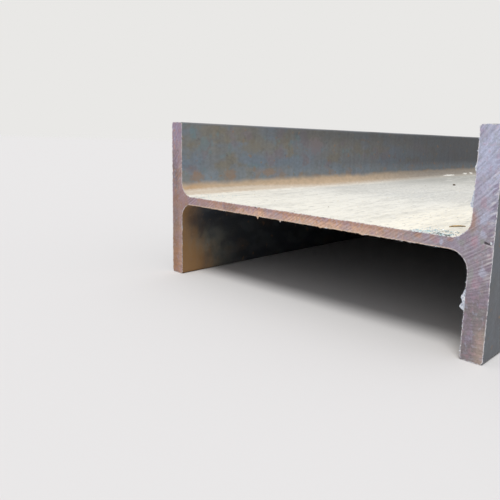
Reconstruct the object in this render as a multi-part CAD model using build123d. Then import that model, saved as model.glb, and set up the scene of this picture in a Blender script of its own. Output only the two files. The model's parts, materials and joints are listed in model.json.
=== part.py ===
"""Wide-flange steel beam: one straight length of hot-rolled section, sawn square at both ends.

The beam lies on the tips of its flanges, so its web is level and its flanges stand upright.
X runs across the section's depth, Y along the beam, and Z up. The origin is under the
middle of the beam, on the level that the flange tips rest on.
"""
import os

from build123d import *

# Driving dimensions in millimetres.
stock_length = 6000.0
section_depth = 650.0
flange_width = 300.0
flange_thickness = 31.0
web_thickness = 16.0
root_radius = 27.0
toe_radius = 5.0

# Places that follow from them.
flange_outside = section_depth / 2
flange_inside = flange_outside - flange_thickness
tip_height = flange_width / 2
web_face = web_thickness / 2


def upper_half_corners() -> list[tuple[float, float]]:
    """Sharp corners of the section above the middle of the web, from the right side to the left."""
    return [
        (flange_outside, tip_height),
        (flange_inside, tip_height),
        (flange_inside, web_face),
        (-flange_inside, web_face),
        (-flange_inside, tip_height),
        (-flange_outside, tip_height),
    ]


def rolled_section() -> Sketch:
    """The rolled section: parallel flanges, hollow roots against the web, and rounded tips."""
    upper = upper_half_corners()
    lower = [(-across, -height) for across, height in upper]
    section = make_face(Polyline(*upper, *lower, close=True))
    roots = section.vertices().filter_by(lambda corner: abs(corner.Y) < tip_height - toe_radius)
    section = fillet(roots, root_radius)
    tips = section.vertices().filter_by(lambda corner: abs(corner.Y) > tip_height - toe_radius)
    return fillet(tips, toe_radius)


def beam() -> Part:
    """The section drawn out to the stock length, with its lower flange tips on the XY plane."""
    across_the_beam = Plane((0, 0, tip_height), x_dir=(1, 0, 0), z_dir=(0, -1, 0))
    solid = extrude(across_the_beam * rolled_section(), amount=stock_length / 2, both=True)
    solid.label = "i_beam"
    return solid


os.makedirs("parts", exist_ok=True)
export_step(beam(), "parts/i_beam.step")
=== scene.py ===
"""Looks of a hot-rolled wide-flange steel beam: rolled faces in mill scale, sawn ends with burrs.

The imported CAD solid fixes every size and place. The beam here is one closed mesh that stands for it,
with the saw's marks and the chipped arris as real relief, and with burrs, swarf and grit lying on it.
Lengths are in metres, X across the section's depth, Y along the beam and Z up.
"""
import json
import logging
import math
from dataclasses import dataclass
from enum import Enum
from functools import cached_property

import bpy
import numpy as np
from mathutils import Matrix, Vector, noise
from mathutils.geometry import delaunay_2d_cdt
from mathutils.kdtree import KDTree


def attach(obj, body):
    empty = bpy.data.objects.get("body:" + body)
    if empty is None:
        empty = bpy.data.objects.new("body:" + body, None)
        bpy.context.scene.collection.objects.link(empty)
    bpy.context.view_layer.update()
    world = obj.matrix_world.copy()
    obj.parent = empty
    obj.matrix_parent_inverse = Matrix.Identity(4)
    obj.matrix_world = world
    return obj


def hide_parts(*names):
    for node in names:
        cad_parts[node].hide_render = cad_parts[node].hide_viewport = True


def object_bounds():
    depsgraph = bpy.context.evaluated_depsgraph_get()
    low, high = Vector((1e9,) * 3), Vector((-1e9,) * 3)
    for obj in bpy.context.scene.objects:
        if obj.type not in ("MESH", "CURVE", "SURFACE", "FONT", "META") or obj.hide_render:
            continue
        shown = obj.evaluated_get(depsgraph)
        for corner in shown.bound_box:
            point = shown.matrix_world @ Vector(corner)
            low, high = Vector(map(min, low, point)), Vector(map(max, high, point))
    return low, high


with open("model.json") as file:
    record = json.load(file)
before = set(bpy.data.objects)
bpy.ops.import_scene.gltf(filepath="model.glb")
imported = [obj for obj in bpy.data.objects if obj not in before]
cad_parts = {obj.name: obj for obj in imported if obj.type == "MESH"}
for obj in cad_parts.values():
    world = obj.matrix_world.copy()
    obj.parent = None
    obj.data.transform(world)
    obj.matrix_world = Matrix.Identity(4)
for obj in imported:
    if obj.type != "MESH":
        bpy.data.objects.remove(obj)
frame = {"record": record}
cad_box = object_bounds()

MM = 0.001
BODY = "root"
NODE = "i_beam"
log = logging.getLogger("beam")


class End(Enum):
    """The beam's two sawn ends, by the sign of Y there."""

    NEAR = -1
    FAR = 1


class Mark(str, Enum):
    """Names of the values that a mesh carries for its growth and its finishes."""

    SAWN = "sawn"
    INWARD = "inward"
    ARRIS = "arris_distance"
    RIDGE = "saw_ridge"
    RUN = "saw_run"
    LEAN = "lean"
    TALL = "tall"
    AMOUNT = "amount"
    DENT = "dent"


def linear(colour: str) -> tuple[float, float, float, float]:
    """Turn an sRGB hex colour into linear red, green, blue and alpha.

    Args:
        colour: Six hex digits after a hash sign.

    Returns:
        The linear colour, opaque.
    """
    parts = [int(colour[k : k + 2], 16) / 255 for k in (1, 3, 5)]
    light = [p / 12.92 if p <= 0.04045 else ((p + 0.055) / 1.055) ** 2.4 for p in parts]
    return (*light, 1.0)


def add_node(
    tree: bpy.types.NodeTree, kind: str, links: dict | list | tuple = (), **settings: object
) -> bpy.types.Node:
    """Add one node with its settings, and fill its inputs.

    Args:
        tree: Tree that the node goes into.
        kind: Blender's name for the node's type.
        links: What the inputs get, as a list in their order or by identifier or name. Each is a
            value, an output, a node, which stands for its first output in use, or None for a gap.
        settings: Values of the node's own properties.

    Returns:
        The new node.
    """
    node = tree.nodes.new(kind)
    for name, value in settings.items():
        setattr(node, name, value)
    sockets = {socket.name: socket for socket in reversed(node.inputs)}
    sockets |= {socket.identifier: socket for socket in node.inputs}
    in_order = [socket for socket in node.inputs if socket.enabled]
    given = links.items() if isinstance(links, dict) else enumerate(links)
    for key, source in given:
        socket = in_order[key] if isinstance(key, int) else sockets[key]
        if isinstance(source, bpy.types.Node):
            source = next(output for output in source.outputs if output.enabled)
        if isinstance(source, bpy.types.NodeSocket):
            tree.links.new(source, socket)
        elif source is not None:
            socket.default_value = source
    return node


def new_growth(name: str, sizes: dict[str, object]) -> tuple[bpy.types.NodeTree, bpy.types.NodeOutputs]:
    """Start a Geometry Nodes tree that has named inputs.

    Args:
        name: Name of the tree.
        sizes: The named inputs, each with a value that shows its type.

    Returns:
        The tree, and the outputs of its input node by name.
    """
    kinds = {float: "Float", int: "Int", Vector: "Vector", bpy.types.Material: "Material"}
    tree = bpy.data.node_groups.new(name, "GeometryNodeTree")
    for way in ("INPUT", "OUTPUT"):
        tree.interface.new_socket("Geometry", in_out=way, socket_type="NodeSocketGeometry")
    for label, value in sizes.items():
        tree.interface.new_socket(label, in_out="INPUT", socket_type="NodeSocket" + kinds[type(value)])
    return tree, add_node(tree, "NodeGroupInput").outputs


def grown(
    name: str, seed: bpy.types.Mesh, tree: bpy.types.NodeTree, sizes: dict[str, object]
) -> bpy.types.Object:
    """Run a Geometry Nodes tree on a mesh once, and keep what it makes as a plain mesh.

    Args:
        name: Name of the piece.
        seed: Mesh that the tree starts from.
        tree: The tree.
        sizes: Value of each named input.

    Returns:
        The piece at the origin, with no modifier left on it.
    """
    piece = bpy.data.objects.new(name, seed)
    bpy.context.scene.collection.objects.link(piece)
    modifier = piece.modifiers.new(name, "NODES")
    modifier.node_group = tree
    for item in tree.interface.items_tree:
        if item.in_out == "INPUT" and item.name in sizes:
            modifier[item.identifier] = sizes[item.name]
    depsgraph = bpy.context.evaluated_depsgraph_get()
    settled = piece.evaluated_get(depsgraph)
    result = bpy.data.meshes.new_from_object(settled, preserve_all_data_layers=True, depsgraph=depsgraph)
    piece.modifiers.clear()
    piece.data = result
    result.name = name
    return piece


def put_marks(mesh: bpy.types.Mesh, marks: dict[Mark, np.ndarray]) -> None:
    """Store numbers or directions on a mesh's points.

    Args:
        mesh: Mesh that carries them.
        marks: One array for each name, of numbers or of three-part directions.
    """
    for name, values in marks.items():
        is_direction = values.ndim == 2
        attribute = mesh.attributes.new(name.value, "FLOAT_VECTOR" if is_direction else "FLOAT", "POINT")
        attribute.data.foreach_set("vector" if is_direction else "value", values.astype(np.float32).ravel())


@dataclass(frozen=True)
class Run:
    """One stretch of the section's outline, straight or a quarter round.

    Attributes:
        start: Where it begins, as X and height above the middle of the web.
        along: Direction in which it begins.
        turn: Direction in which a quarter round ends, or None on a straight stretch.
        size: Length of a straight stretch, or radius of a round one.
        breaks: Shares of the stretch at which the beam's long quads meet.
    """

    start: np.ndarray
    along: np.ndarray
    turn: np.ndarray | None
    size: float
    breaks: tuple[float, ...]

    def length(self) -> float:
        """Length of the stretch."""
        return self.size if self.turn is None else self.size * math.pi / 2

    def at(self, share: float) -> tuple[np.ndarray, np.ndarray]:
        """Place and inward direction at a share of the stretch.

        Args:
            share: How far along it, from 0 to 1.

        Returns:
            The point, and the direction that looks into the steel there.
        """
        if self.turn is None:
            point, heading = self.start + self.along * self.size * share, self.along
        else:
            angle = share * math.pi / 2
            middle = self.start + self.turn * self.size
            point = middle + self.size * (self.along * math.sin(angle) - self.turn * math.cos(angle))
            heading = self.along * math.cos(angle) + self.turn * math.sin(angle)
        return point, np.array([-heading[1], heading[0]])


@dataclass(frozen=True)
class Section:
    """The rolled section, lying with its web level.

    Attributes:
        depth: Over both flanges.
        width: Of a flange, from tip to tip.
        flange: Thickness of a flange.
        web: Thickness of the web.
        root: Radius between web and flange.
        toe: Radius at the tips of a flange.
        arc_steps: Long quads round a root.
        support: Narrow strip that keeps a flat face's shading flat beside a round.
        quad: Width of the long quads on flat faces.
    """

    depth: float
    width: float
    flange: float
    web: float
    root: float = 27 * MM
    toe: float = 5 * MM
    arc_steps: int = 8
    support: float = 1.2 * MM
    quad: float = 90 * MM

    @classmethod
    def from_frame(cls) -> "Section":
        """Read the section's sizes from the CAD box and the record's mounts.

        Returns:
            The section.
        """
        places = {mount["name"]: mount["pos_m"] for mount in frame["record"]["mounts"]}
        low, high = cad_box
        return cls(
            depth=high.x - low.x,
            width=high.z - low.z,
            flange=2 * (high.x - places["rest_tip_right"][0]),
            web=places["web_face_upper"][2] - places["web_face_lower"][2],
        )

    def inner_face(self) -> float:
        """X of the right flange's inner face."""
        return self.depth / 2 - self.flange

    def corners(self) -> list[np.ndarray]:
        """Sharp corners of the section, from the right flange's lower outer one upwards.

        Returns:
            X and height above the middle of the web, of each.
        """
        outer, inner, tip, face = self.depth / 2, self.inner_face(), self.width / 2, self.web / 2
        upper = [(outer, tip), (inner, tip), (inner, face), (-inner, face), (-inner, tip), (-outer, tip)]
        lower = [(-x, -height) for x, height in upper]
        return [np.array(corner) for corner in [lower[-1], *upper, *lower[:-1]]]

    def runs(self) -> list[Run]:
        """Go round the outline.

        Returns:
            Every round and straight stretch, in order.
        """
        corners = self.corners()
        following = corners[1:] + corners[:1]
        sides = [float(np.linalg.norm(after - here)) for here, after in zip(corners, following)]
        headings = [(after - here) / side for here, after, side in zip(corners, following, sides)]
        radii = [self.toe if abs(corner[1]) > self.web else self.root for corner in corners]
        stretches = []
        for k, corner in enumerate(corners):
            radius, coming, going = radii[k], headings[k - 1], headings[k]
            steps = self.arc_steps if radius == self.root else self.arc_steps // 2
            rounds = tuple(step / steps for step in range(steps))
            stretches.append(Run(corner - coming * radius, coming, going, radius, rounds))
            size = sides[k] - radius - radii[(k + 1) % len(corners)]
            edge = self.support / size
            parts = max(1, round(size / self.quad))
            flats = tuple(edge + (1 - 2 * edge) * part / parts for part in range(parts + 1))
            stretches.append(Run(corner + going * radius, going, None, size, (0.0, *flats)))
        return stretches


@dataclass(frozen=True)
class Nick:
    """A dent in a cut face, where something struck it. It narrows to half its width.

    Attributes:
        start: One end of the dent, as X and Z at the near end.
        stop: The other end.
        width: Across it.
        depth: Of it.
    """

    start: tuple[float, float]
    stop: tuple[float, float]
    width: float
    depth: float

    def pressed(self, places: np.ndarray) -> np.ndarray:
        """How deep the dent is.

        Args:
            places: X and Z of each point, as at the near end.

        Returns:
            The depth at each.
        """
        first, along = np.array(self.start), np.array(self.stop) - np.array(self.start)
        share = np.clip((places - first) @ along / (along @ along), 0, 1)
        gap = np.linalg.norm(places - first - share[:, None] * along, axis=1)
        taper = 0.55
        half = self.width / 2 * (1 - taper * share)
        return self.depth * np.clip(1 - (gap / half) ** 2, 0, 1)


@dataclass(frozen=True)
class SawCut:
    """How the beam was cut: a friction saw's round blade, fed across the section.

    Attributes:
        blade_radius: Of the saw blade.
        blade_height: Of the blade's middle above the floor.
        flattest: Slope of the marks in degrees low down, where the blade's middle sank with the cut.
        fade: Heights at which the marks vanish and at which they are full.
        feed: From one heavy mark to the next, along X.
        ridge: Height of the marks.
        changes: Changes of a mark's strength in a metre of height.
        grain: Height of the torn grain between them.
        recess: From the tips of the burrs, which end with the CAD box, to the cut face.
        chip: Depth of the bites out of the arris.
        seed: Picks one run of marks.
        nicks: Dents in the cut face.
    """

    blade_radius: float = 610 * MM
    blade_height: float = 657 * MM
    flattest: float = 10.0
    fade: tuple[float, float] = (62 * MM, 110 * MM)
    feed: float = 8.5 * MM
    ridge: float = 0.30 * MM
    changes: float = 50.0
    grain: float = 0.55 * MM
    recess: float = 1.6 * MM
    chip: float = 0.9 * MM
    seed: float = 3.0
    nicks: tuple[Nick, ...] = (
        Nick((313.6 * MM, 156.4 * MM), (320 * MM, 154.9 * MM), 3.8 * MM, 1.8 * MM),
        Nick((-90 * MM, 157.6 * MM), (-86.5 * MM, 155.6 * MM), 4.0 * MM, 1.4 * MM),
        Nick((57 * MM, 157.4 * MM), (63 * MM, 156.4 * MM), 3.4 * MM, 1.2 * MM),
        Nick((-307 * MM, 246 * MM), (-304 * MM, 240 * MM), 3.0 * MM, 1.0 * MM),
    )

    def sizes(self, rolled: bpy.types.Material, sawn: bpy.types.Material) -> dict[str, object]:
        """Named inputs of the tree.

        Args:
            rolled: Finish of the rolled faces.
            sawn: Finish of the sawn ends.

        Returns:
            The value of each input.
        """
        slope = math.radians(self.flattest)
        return {
            "Blade Radius": self.blade_radius,
            "Blade Height": self.blade_height,
            "Widest Drop": self.blade_radius * math.cos(slope),
            "Run On": 1 / math.tan(slope),
            "Fade Low": self.fade[0],
            "Fade High": self.fade[1],
            "Feed": self.feed,
            "Ridge Height": self.ridge,
            "Changes": self.changes,
            "Grain Height": self.grain,
            "Recess": self.recess,
            "Chip Depth": self.chip,
            "Seed": self.seed,
            "Rolled Finish": rolled,
            "Sawn Finish": sawn,
        }

    def tree(self, sizes: dict[str, object]) -> bpy.types.NodeTree:
        """Write the Geometry Nodes that press the saw's marks into both ends and dress the beam.

        Args:
            sizes: Named inputs.

        Returns:
            The tree.
        """
        tree, size = new_growth("saw_marks", sizes)
        torn_grain, bite_size, swerve, weakest = 3.4 * MM, 9 * MM, 6.0, 0.15
        here = add_node(tree, "GeometryNodeInputPosition")
        x, y, z = add_node(tree, "ShaderNodeSeparateXYZ", [here]).outputs
        side = add_node(tree, "ShaderNodeMath", [y], operation="SIGN")

        # A mark is an arc of the blade's rim, and the rim moves on by the feed.
        drop = add_node(tree, "ShaderNodeMath", [size["Blade Height"], z], operation="SUBTRACT")
        held = add_node(tree, "ShaderNodeMath", [drop, size["Widest Drop"]], operation="MINIMUM")
        below = add_node(tree, "ShaderNodeMath", [held, drop], operation="SUBTRACT")
        sine = add_node(tree, "ShaderNodeMath", [held, size["Blade Radius"]], operation="DIVIDE")
        angle = add_node(tree, "ShaderNodeMath", [sine], operation="ARCSINE")
        cosine = add_node(tree, "ShaderNodeMath", [angle], operation="COSINE")
        rim = add_node(tree, "ShaderNodeMath", [cosine, size["Blade Radius"]], operation="MULTIPLY")
        reach = add_node(tree, "ShaderNodeMath", [below, size["Run On"], rim], operation="MULTIPLY_ADD")
        run = add_node(tree, "ShaderNodeMath", [x, side, reach], operation="MULTIPLY_ADD")
        phase = add_node(tree, "ShaderNodeMath", [run, size["Feed"]], operation="DIVIDE")

        # Marks differ in strength and spacing, and each fades in and out along its arc.
        along = add_node(tree, "ShaderNodeMath", [z, size["Changes"]], operation="MULTIPLY")
        seeded = add_node(tree, "ShaderNodeMath", [side, size["Seed"]], operation="ADD")
        stroke = add_node(tree, "ShaderNodeCombineXYZ", [phase, along, seeded])
        uneven = add_node(tree, "ShaderNodeTexNoise", {"Vector": stroke, "Scale": 1.0, "Detail": 2.0})
        turning = add_node(tree, "ShaderNodeMath", [phase, 2 * math.pi], operation="MULTIPLY")
        wander = add_node(tree, "ShaderNodeMath", [uneven, swerve, turning], operation="MULTIPLY_ADD")
        wave = add_node(tree, "ShaderNodeMath", [wander], operation="SINE")
        force = add_node(tree, "ShaderNodeMapRange", [uneven, 0.3, 0.7, weakest, 1.0])
        # Low down the marks crowd together, finer than the mesh, and are left to the finish.
        spaced = add_node(tree, "ShaderNodeMapRange", [z, size["Fade Low"], size["Fade High"]])
        strength = add_node(tree, "ShaderNodeMath", [force, spaced], operation="MULTIPLY")
        ridge = add_node(tree, "ShaderNodeMath", [wave, strength], operation="MULTIPLY")
        torn = add_node(tree, "ShaderNodeTexNoise", {"Scale": 1 / torn_grain, "Detail": 2.0})
        grain = add_node(tree, "ShaderNodeMath", [torn, size["Grain Height"]], operation="MULTIPLY")
        raised = [ridge, size["Ridge Height"], grain]
        relief = add_node(tree, "ShaderNodeMath", raised, operation="MULTIPLY_ADD")
        dent = add_node(tree, "GeometryNodeInputNamedAttribute", [Mark.DENT.value], data_type="FLOAT")
        level = add_node(tree, "ShaderNodeMath", [relief, size["Recess"]], operation="SUBTRACT")
        back = add_node(tree, "ShaderNodeMath", [level, dent], operation="SUBTRACT")
        off = add_node(tree, "ShaderNodeMath", [back, side], operation="MULTIPLY")
        pressed = add_node(tree, "ShaderNodeCombineXYZ", {"Y": off})

        # Bites out of the arris, where the last of the cut broke away.
        bites = add_node(tree, "ShaderNodeTexNoise", {"Scale": 1 / bite_size, "Detail": 3.0})
        bite = add_node(tree, "ShaderNodeMapRange", [bites, 0.45, 0.75, 0.0, size["Chip Depth"]])
        name = [Mark.INWARD.value]
        inward = add_node(tree, "GeometryNodeInputNamedAttribute", name, data_type="FLOAT_VECTOR")
        lost = {"Vector": inward, "Scale": bite}
        bitten = add_node(tree, "ShaderNodeVectorMath", lost, operation="SCALE")
        moved = add_node(tree, "ShaderNodeVectorMath", [pressed, bitten], operation="ADD")

        sawn = add_node(tree, "GeometryNodeInputNamedAttribute", [Mark.SAWN.value], data_type="FLOAT")
        on_cut = add_node(tree, "FunctionNodeCompare", [sawn, 0.5], operation="GREATER_THAN")
        pushed = {"Geometry": size["Geometry"], "Selection": on_cut, "Offset": moved}
        body = add_node(tree, "GeometryNodeSetPosition", pushed)
        for name, value in ((Mark.RIDGE, ridge), (Mark.RUN, run)):
            mark = {"Geometry": body, "Name": name.value, "Value": value}
            body = add_node(tree, "GeometryNodeStoreNamedAttribute", mark, data_type="FLOAT", domain="POINT")
        body = add_node(tree, "GeometryNodeRealizeInstances", [body])
        body = add_node(tree, "GeometryNodeSetMaterial", [body, None, size["Rolled Finish"]])
        body = add_node(tree, "GeometryNodeSetMaterial", [body, on_cut, size["Sawn Finish"]])
        add_node(tree, "NodeGroupOutput", [body])
        return tree


@dataclass(frozen=True)
class Slice:
    """One cross-section of the beam's skin.

    Attributes:
        y: Place along the beam.
        fine: Whether it has the close points of the arris.
    """

    y: float
    fine: bool


@dataclass
class RolledBeam:
    """The beam itself, as one closed mesh.

    Attributes:
        section: The rolled section.
        length: From the tips of the burrs at one end to those at the other.
        cut: How its ends were sawn.
        pitch: Between the close points of the arris and of the cut faces.
        fine_depths: From an end to its cross-sections with close points.
        long_depths: From an end to its other cross-sections, up to mid length.
    """

    section: Section
    length: float
    cut: SawCut
    pitch: float = 1.35 * MM
    fine_depths: tuple[float, ...] = tuple(d * MM for d in (0, 3.2, 5, 8))
    long_depths: tuple[float, ...] = tuple(d * MM for d in (15, 30, 60, 120, 250, 500, 900, 1500, 2200, 3000))

    def ring(self, pitch: float | None) -> tuple[np.ndarray, np.ndarray, list[int]]:
        """Points round the section.

        Args:
            pitch: Widest gap between points, or None for those of the long quads only.

        Returns:
            The points, the inward direction at each, and the parts of each long quad.
        """
        points, inward, parts = [], [], []
        for run in self.section.runs():
            ends = (*run.breaks[1:], 1.0)
            for first, last in zip(run.breaks, ends):
                count = 1 if pitch is None else math.ceil(run.length() * (last - first) / pitch)
                parts.append(count)
                for part in range(count):
                    point, direction = run.at(first + (last - first) * part / count)
                    points.append(point)
                    inward.append(direction)
        return np.array(points), np.array(inward), parts

    def slices(self) -> list[Slice]:
        """Choose where the skin's points lie along the beam.

        Returns:
            The cross-sections, from the near end to the far one.
        """
        half = self.length / 2
        near = [Slice(depth - half, True) for depth in self.fine_depths]
        near += [Slice(depth - half, False) for depth in self.long_depths if depth < half]
        far = [Slice(-cross.y, cross.fine) for cross in reversed(near)]
        return [*near, Slice(0.0, False), *far]

    @staticmethod
    def stitch(first: list[int], second: list[int]) -> list[tuple[int, ...]]:
        """Quads between two rings that have as many points.

        Args:
            first: Points of the ring nearer to the near end.
            second: Points of the other.

        Returns:
            Faces that look outwards.
        """
        turned = zip(first, second, second[1:] + second[:1], first[1:] + first[:1])
        return list(turned)

    @staticmethod
    def fan(fine: list[int], coarse: list[int], parts: list[int], fine_first: bool) -> list[tuple[int, ...]]:
        """Triangles between a ring with close points and one with the long quads' points.

        Args:
            fine: Points of the close ring.
            coarse: Points of the other.
            parts: Close points in each long quad.
            fine_first: Whether the close ring is nearer to the near end.

        Returns:
            Faces that look outwards.
        """
        faces = []
        start = 0
        for k, count in enumerate(parts):
            here, after = coarse[k], coarse[(k + 1) % len(coarse)]
            close = [fine[(start + part) % len(fine)] for part in range(count + 1)]
            middle = count // 2
            for part, (one, two) in enumerate(zip(close, close[1:])):
                corner = here if part < middle else after
                faces.append((one, corner, two) if fine_first else (corner, one, two))
            faces.append((close[middle], here, after) if fine_first else (here, close[middle], after))
            start += count
        return faces

    def cut_face(self, ring: np.ndarray) -> tuple[np.ndarray, list[tuple[int, int, int]]]:
        """Fill the section with close triangles.

        Args:
            ring: Points of the arris.

        Returns:
            The points inside, and triangles of the arris's points followed by those inside.
        """
        section = self.section
        rise = self.pitch * math.sqrt(3) / 2
        rows = np.arange(-section.width / 2, section.width / 2, rise)
        columns = np.arange(-section.depth / 2, section.depth / 2, self.pitch)
        across, height = np.meshgrid(columns, rows)
        across = across + (np.arange(len(rows)) % 2)[:, None] * self.pitch / 2
        grid = np.column_stack([across.ravel(), height.ravel()])
        bay = section.inner_face()
        grid = grid[(abs(grid[:, 0]) > bay) | (abs(grid[:, 1]) < section.web / 2 + section.root)]
        gaps = nearest(grid, ring)
        clear = 0.75 * self.pitch
        grid = grid[gaps > clear]
        points = [Vector(point) for point in (*ring, *grid)]
        edges = [(k, (k + 1) % len(ring)) for k in range(len(ring))]
        inside_only, same_place = 1, 1e-7
        found, _, triangles, *_ = delaunay_2d_cdt(points, edges, [], inside_only, same_place)
        used = {corner for triangle in triangles for corner in triangle}
        kept = [k for k in range(len(ring), len(points)) if k in used]
        number = {old: len(ring) + new for new, old in enumerate(kept)} | {k: k for k in range(len(ring))}
        inner = np.array([found[k] for k in kept])
        return inner, [tuple(number[corner] for corner in triangle) for triangle in triangles]

    def skin(self) -> bpy.types.Mesh:
        """Build the closed mesh, with what the saw's tree and the finishes need marked on it.

        Returns:
            The mesh.
        """
        fine, fine_inward, parts = self.ring(self.pitch)
        coarse, coarse_inward, _ = self.ring(None)
        middle = self.section.width / 2
        points, inward, rings = [], [], []
        slices = self.slices()
        for cross in slices:
            outline, direction = (fine, fine_inward) if cross.fine else (coarse, coarse_inward)
            rings.append(list(range(len(points), len(points) + len(outline))))
            points += [(x, cross.y, height + middle) for x, height in outline]
            inward += [(x, 0.0, height) for x, height in direction]
        faces = []
        for k in range(len(slices) - 1):
            if slices[k].fine == slices[k + 1].fine:
                faces += self.stitch(rings[k], rings[k + 1])
            elif slices[k].fine:
                faces += self.fan(rings[k], rings[k + 1], parts, True)
            else:
                faces += self.fan(rings[k + 1], rings[k], parts, False)
        depths = [self.length / 2 - abs(y) for _, y, _ in points]
        inner, triangles = self.cut_face(fine)
        gaps = nearest(inner, fine)
        for end, rim in ((End.NEAR, rings[0]), (End.FAR, rings[-1])):
            numbers = [*rim, *range(len(points), len(points) + len(inner))]
            points += [(x, end.value * self.length / 2, height + middle) for x, height in inner]
            inward += [(0.0, 0.0, 0.0)] * len(inner)
            depths += list(gaps)
            order = 1 if end is End.NEAR else -1
            faces += [tuple(numbers[corner] for corner in triangle[::order]) for triangle in triangles]
        mesh = bpy.data.meshes.new(NODE)
        mesh.from_pydata(points, [], faces)
        mesh.shade_smooth()
        self.mark(mesh, np.array(points), np.array(inward), np.array(depths), [rings[0], rings[-1]])
        return mesh

    def mark(
        self,
        mesh: bpy.types.Mesh,
        points: np.ndarray,
        inward: np.ndarray,
        depths: np.ndarray,
        rims: list[list[int]],
    ) -> None:
        """Store the marks on the mesh, and make the arris a sharp edge.

        Args:
            mesh: The beam's mesh.
            points: Its points.
            inward: Direction into the steel at each.
            depths: Distance of each from the arris.
            rims: The points of each arris, in order.
        """
        hair = MM / 100
        on_cut = abs(points[:, 1]) > self.length / 2 - hair
        faced = points * -np.sign(points[:, 1])[:, None]
        dent = sum(nick.pressed(np.column_stack([faced[:, 0], points[:, 2]])) for nick in self.cut.nicks)
        marks = {Mark.SAWN: on_cut.astype(float), Mark.DENT: dent * on_cut}
        put_marks(mesh, marks | {Mark.INWARD: inward, Mark.ARRIS: depths / MM})
        place = {point: (number, k) for number, rim in enumerate(rims) for k, point in enumerate(rim)}
        ends = np.zeros(len(mesh.edges) * 2, np.int32)
        mesh.edges.foreach_get("vertices", ends)
        sharp = np.zeros(len(mesh.edges), bool)
        for k, (one, two) in enumerate(ends.reshape(-1, 2).tolist()):
            if one in place and two in place:
                gap = abs(place[one][1] - place[two][1])
                sharp[k] = place[one][0] == place[two][0] and gap in (1, len(rims[0]) - 1)
        edge_mark = mesh.attributes.new("sharp_edge", "BOOLEAN", "EDGE")
        edge_mark.data.foreach_set("value", sharp)

    def build(self, rolled: bpy.types.Material, sawn: bpy.types.Material) -> bpy.types.Object:
        """Make the beam and dress it.

        Args:
            rolled: Finish of the rolled faces.
            sawn: Finish of the sawn ends.

        Returns:
            The finished piece.
        """
        sizes = self.cut.sizes(rolled, sawn)
        return grown("rolled_beam", self.skin(), self.cut.tree(sizes), sizes)


def nearest(points: np.ndarray, others: np.ndarray) -> np.ndarray:
    """Distance from each point of the section to the nearest of the others.

    Args:
        points: Where to measure from.
        others: What to measure to.

    Returns:
        One distance for each point.
    """
    tree = KDTree(len(others))
    for k, (across, height) in enumerate(others):
        tree.insert((across, height, 0.0), k)
    tree.balance()
    return np.array([tree.find((across, height, 0.0))[2] for across, height in points])


def at_end(points: np.ndarray, end: End) -> np.ndarray:
    """Carry places or directions from the near end to another, by half a turn about the upright middle.

    Args:
        points: Near-end places, one row each.
        end: Where they go.

    Returns:
        The places there.
    """
    return points * np.array([-end.value, -end.value, 1.0])


def outward(points: np.ndarray, faces: list[tuple[int, ...]]) -> list[tuple[int, ...]]:
    """Turn the faces of a closed shell so that they look outwards.

    Args:
        points: Its points.
        faces: Its faces, all turned one way.

    Returns:
        The faces, reversed if they looked inwards.
    """
    middle = points.mean(0)
    volume = 0.0
    for face in faces:
        first, *others = points[list(face)] - middle
        volume += sum(first @ np.cross(second, third) for second, third in zip(others, others[1:]))
    return faces if volume > 0 else [face[::-1] for face in faces]


def joined(name: str, shells: list[tuple[np.ndarray, list[tuple[int, ...]]]]) -> bpy.types.Mesh:
    """Join closed shells into one mesh.

    Args:
        name: Name of the mesh.
        shells: Points and faces of each.

    Returns:
        The mesh, with its faces pointing outwards.
    """
    points, faces = [], []
    for places, sides in shells:
        faces += [tuple(corner + len(points) for corner in side) for side in outward(places, sides)]
        points += places.tolist()
    mesh = bpy.data.meshes.new(name)
    mesh.from_pydata(points, [], faces)
    return mesh


def strip(rings: list[np.ndarray]) -> tuple[np.ndarray, list[tuple[int, ...]]]:
    """Closed shell through rings that have as many points each.

    Args:
        rings: The rings, in order.

    Returns:
        Points and faces.
    """
    size = len(rings[0])
    first_cap = tuple(reversed(range(size)))
    last_cap = tuple(range((len(rings) - 1) * size, len(rings) * size))
    faces = [first_cap, last_cap]
    for row in range(len(rings) - 1):
        for k in range(size):
            after = (k + 1) % size
            faces.append((row * size + k, row * size + after, (row + 1) * size + after, (row + 1) * size + k))
    return np.concatenate(rings), faces


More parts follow.
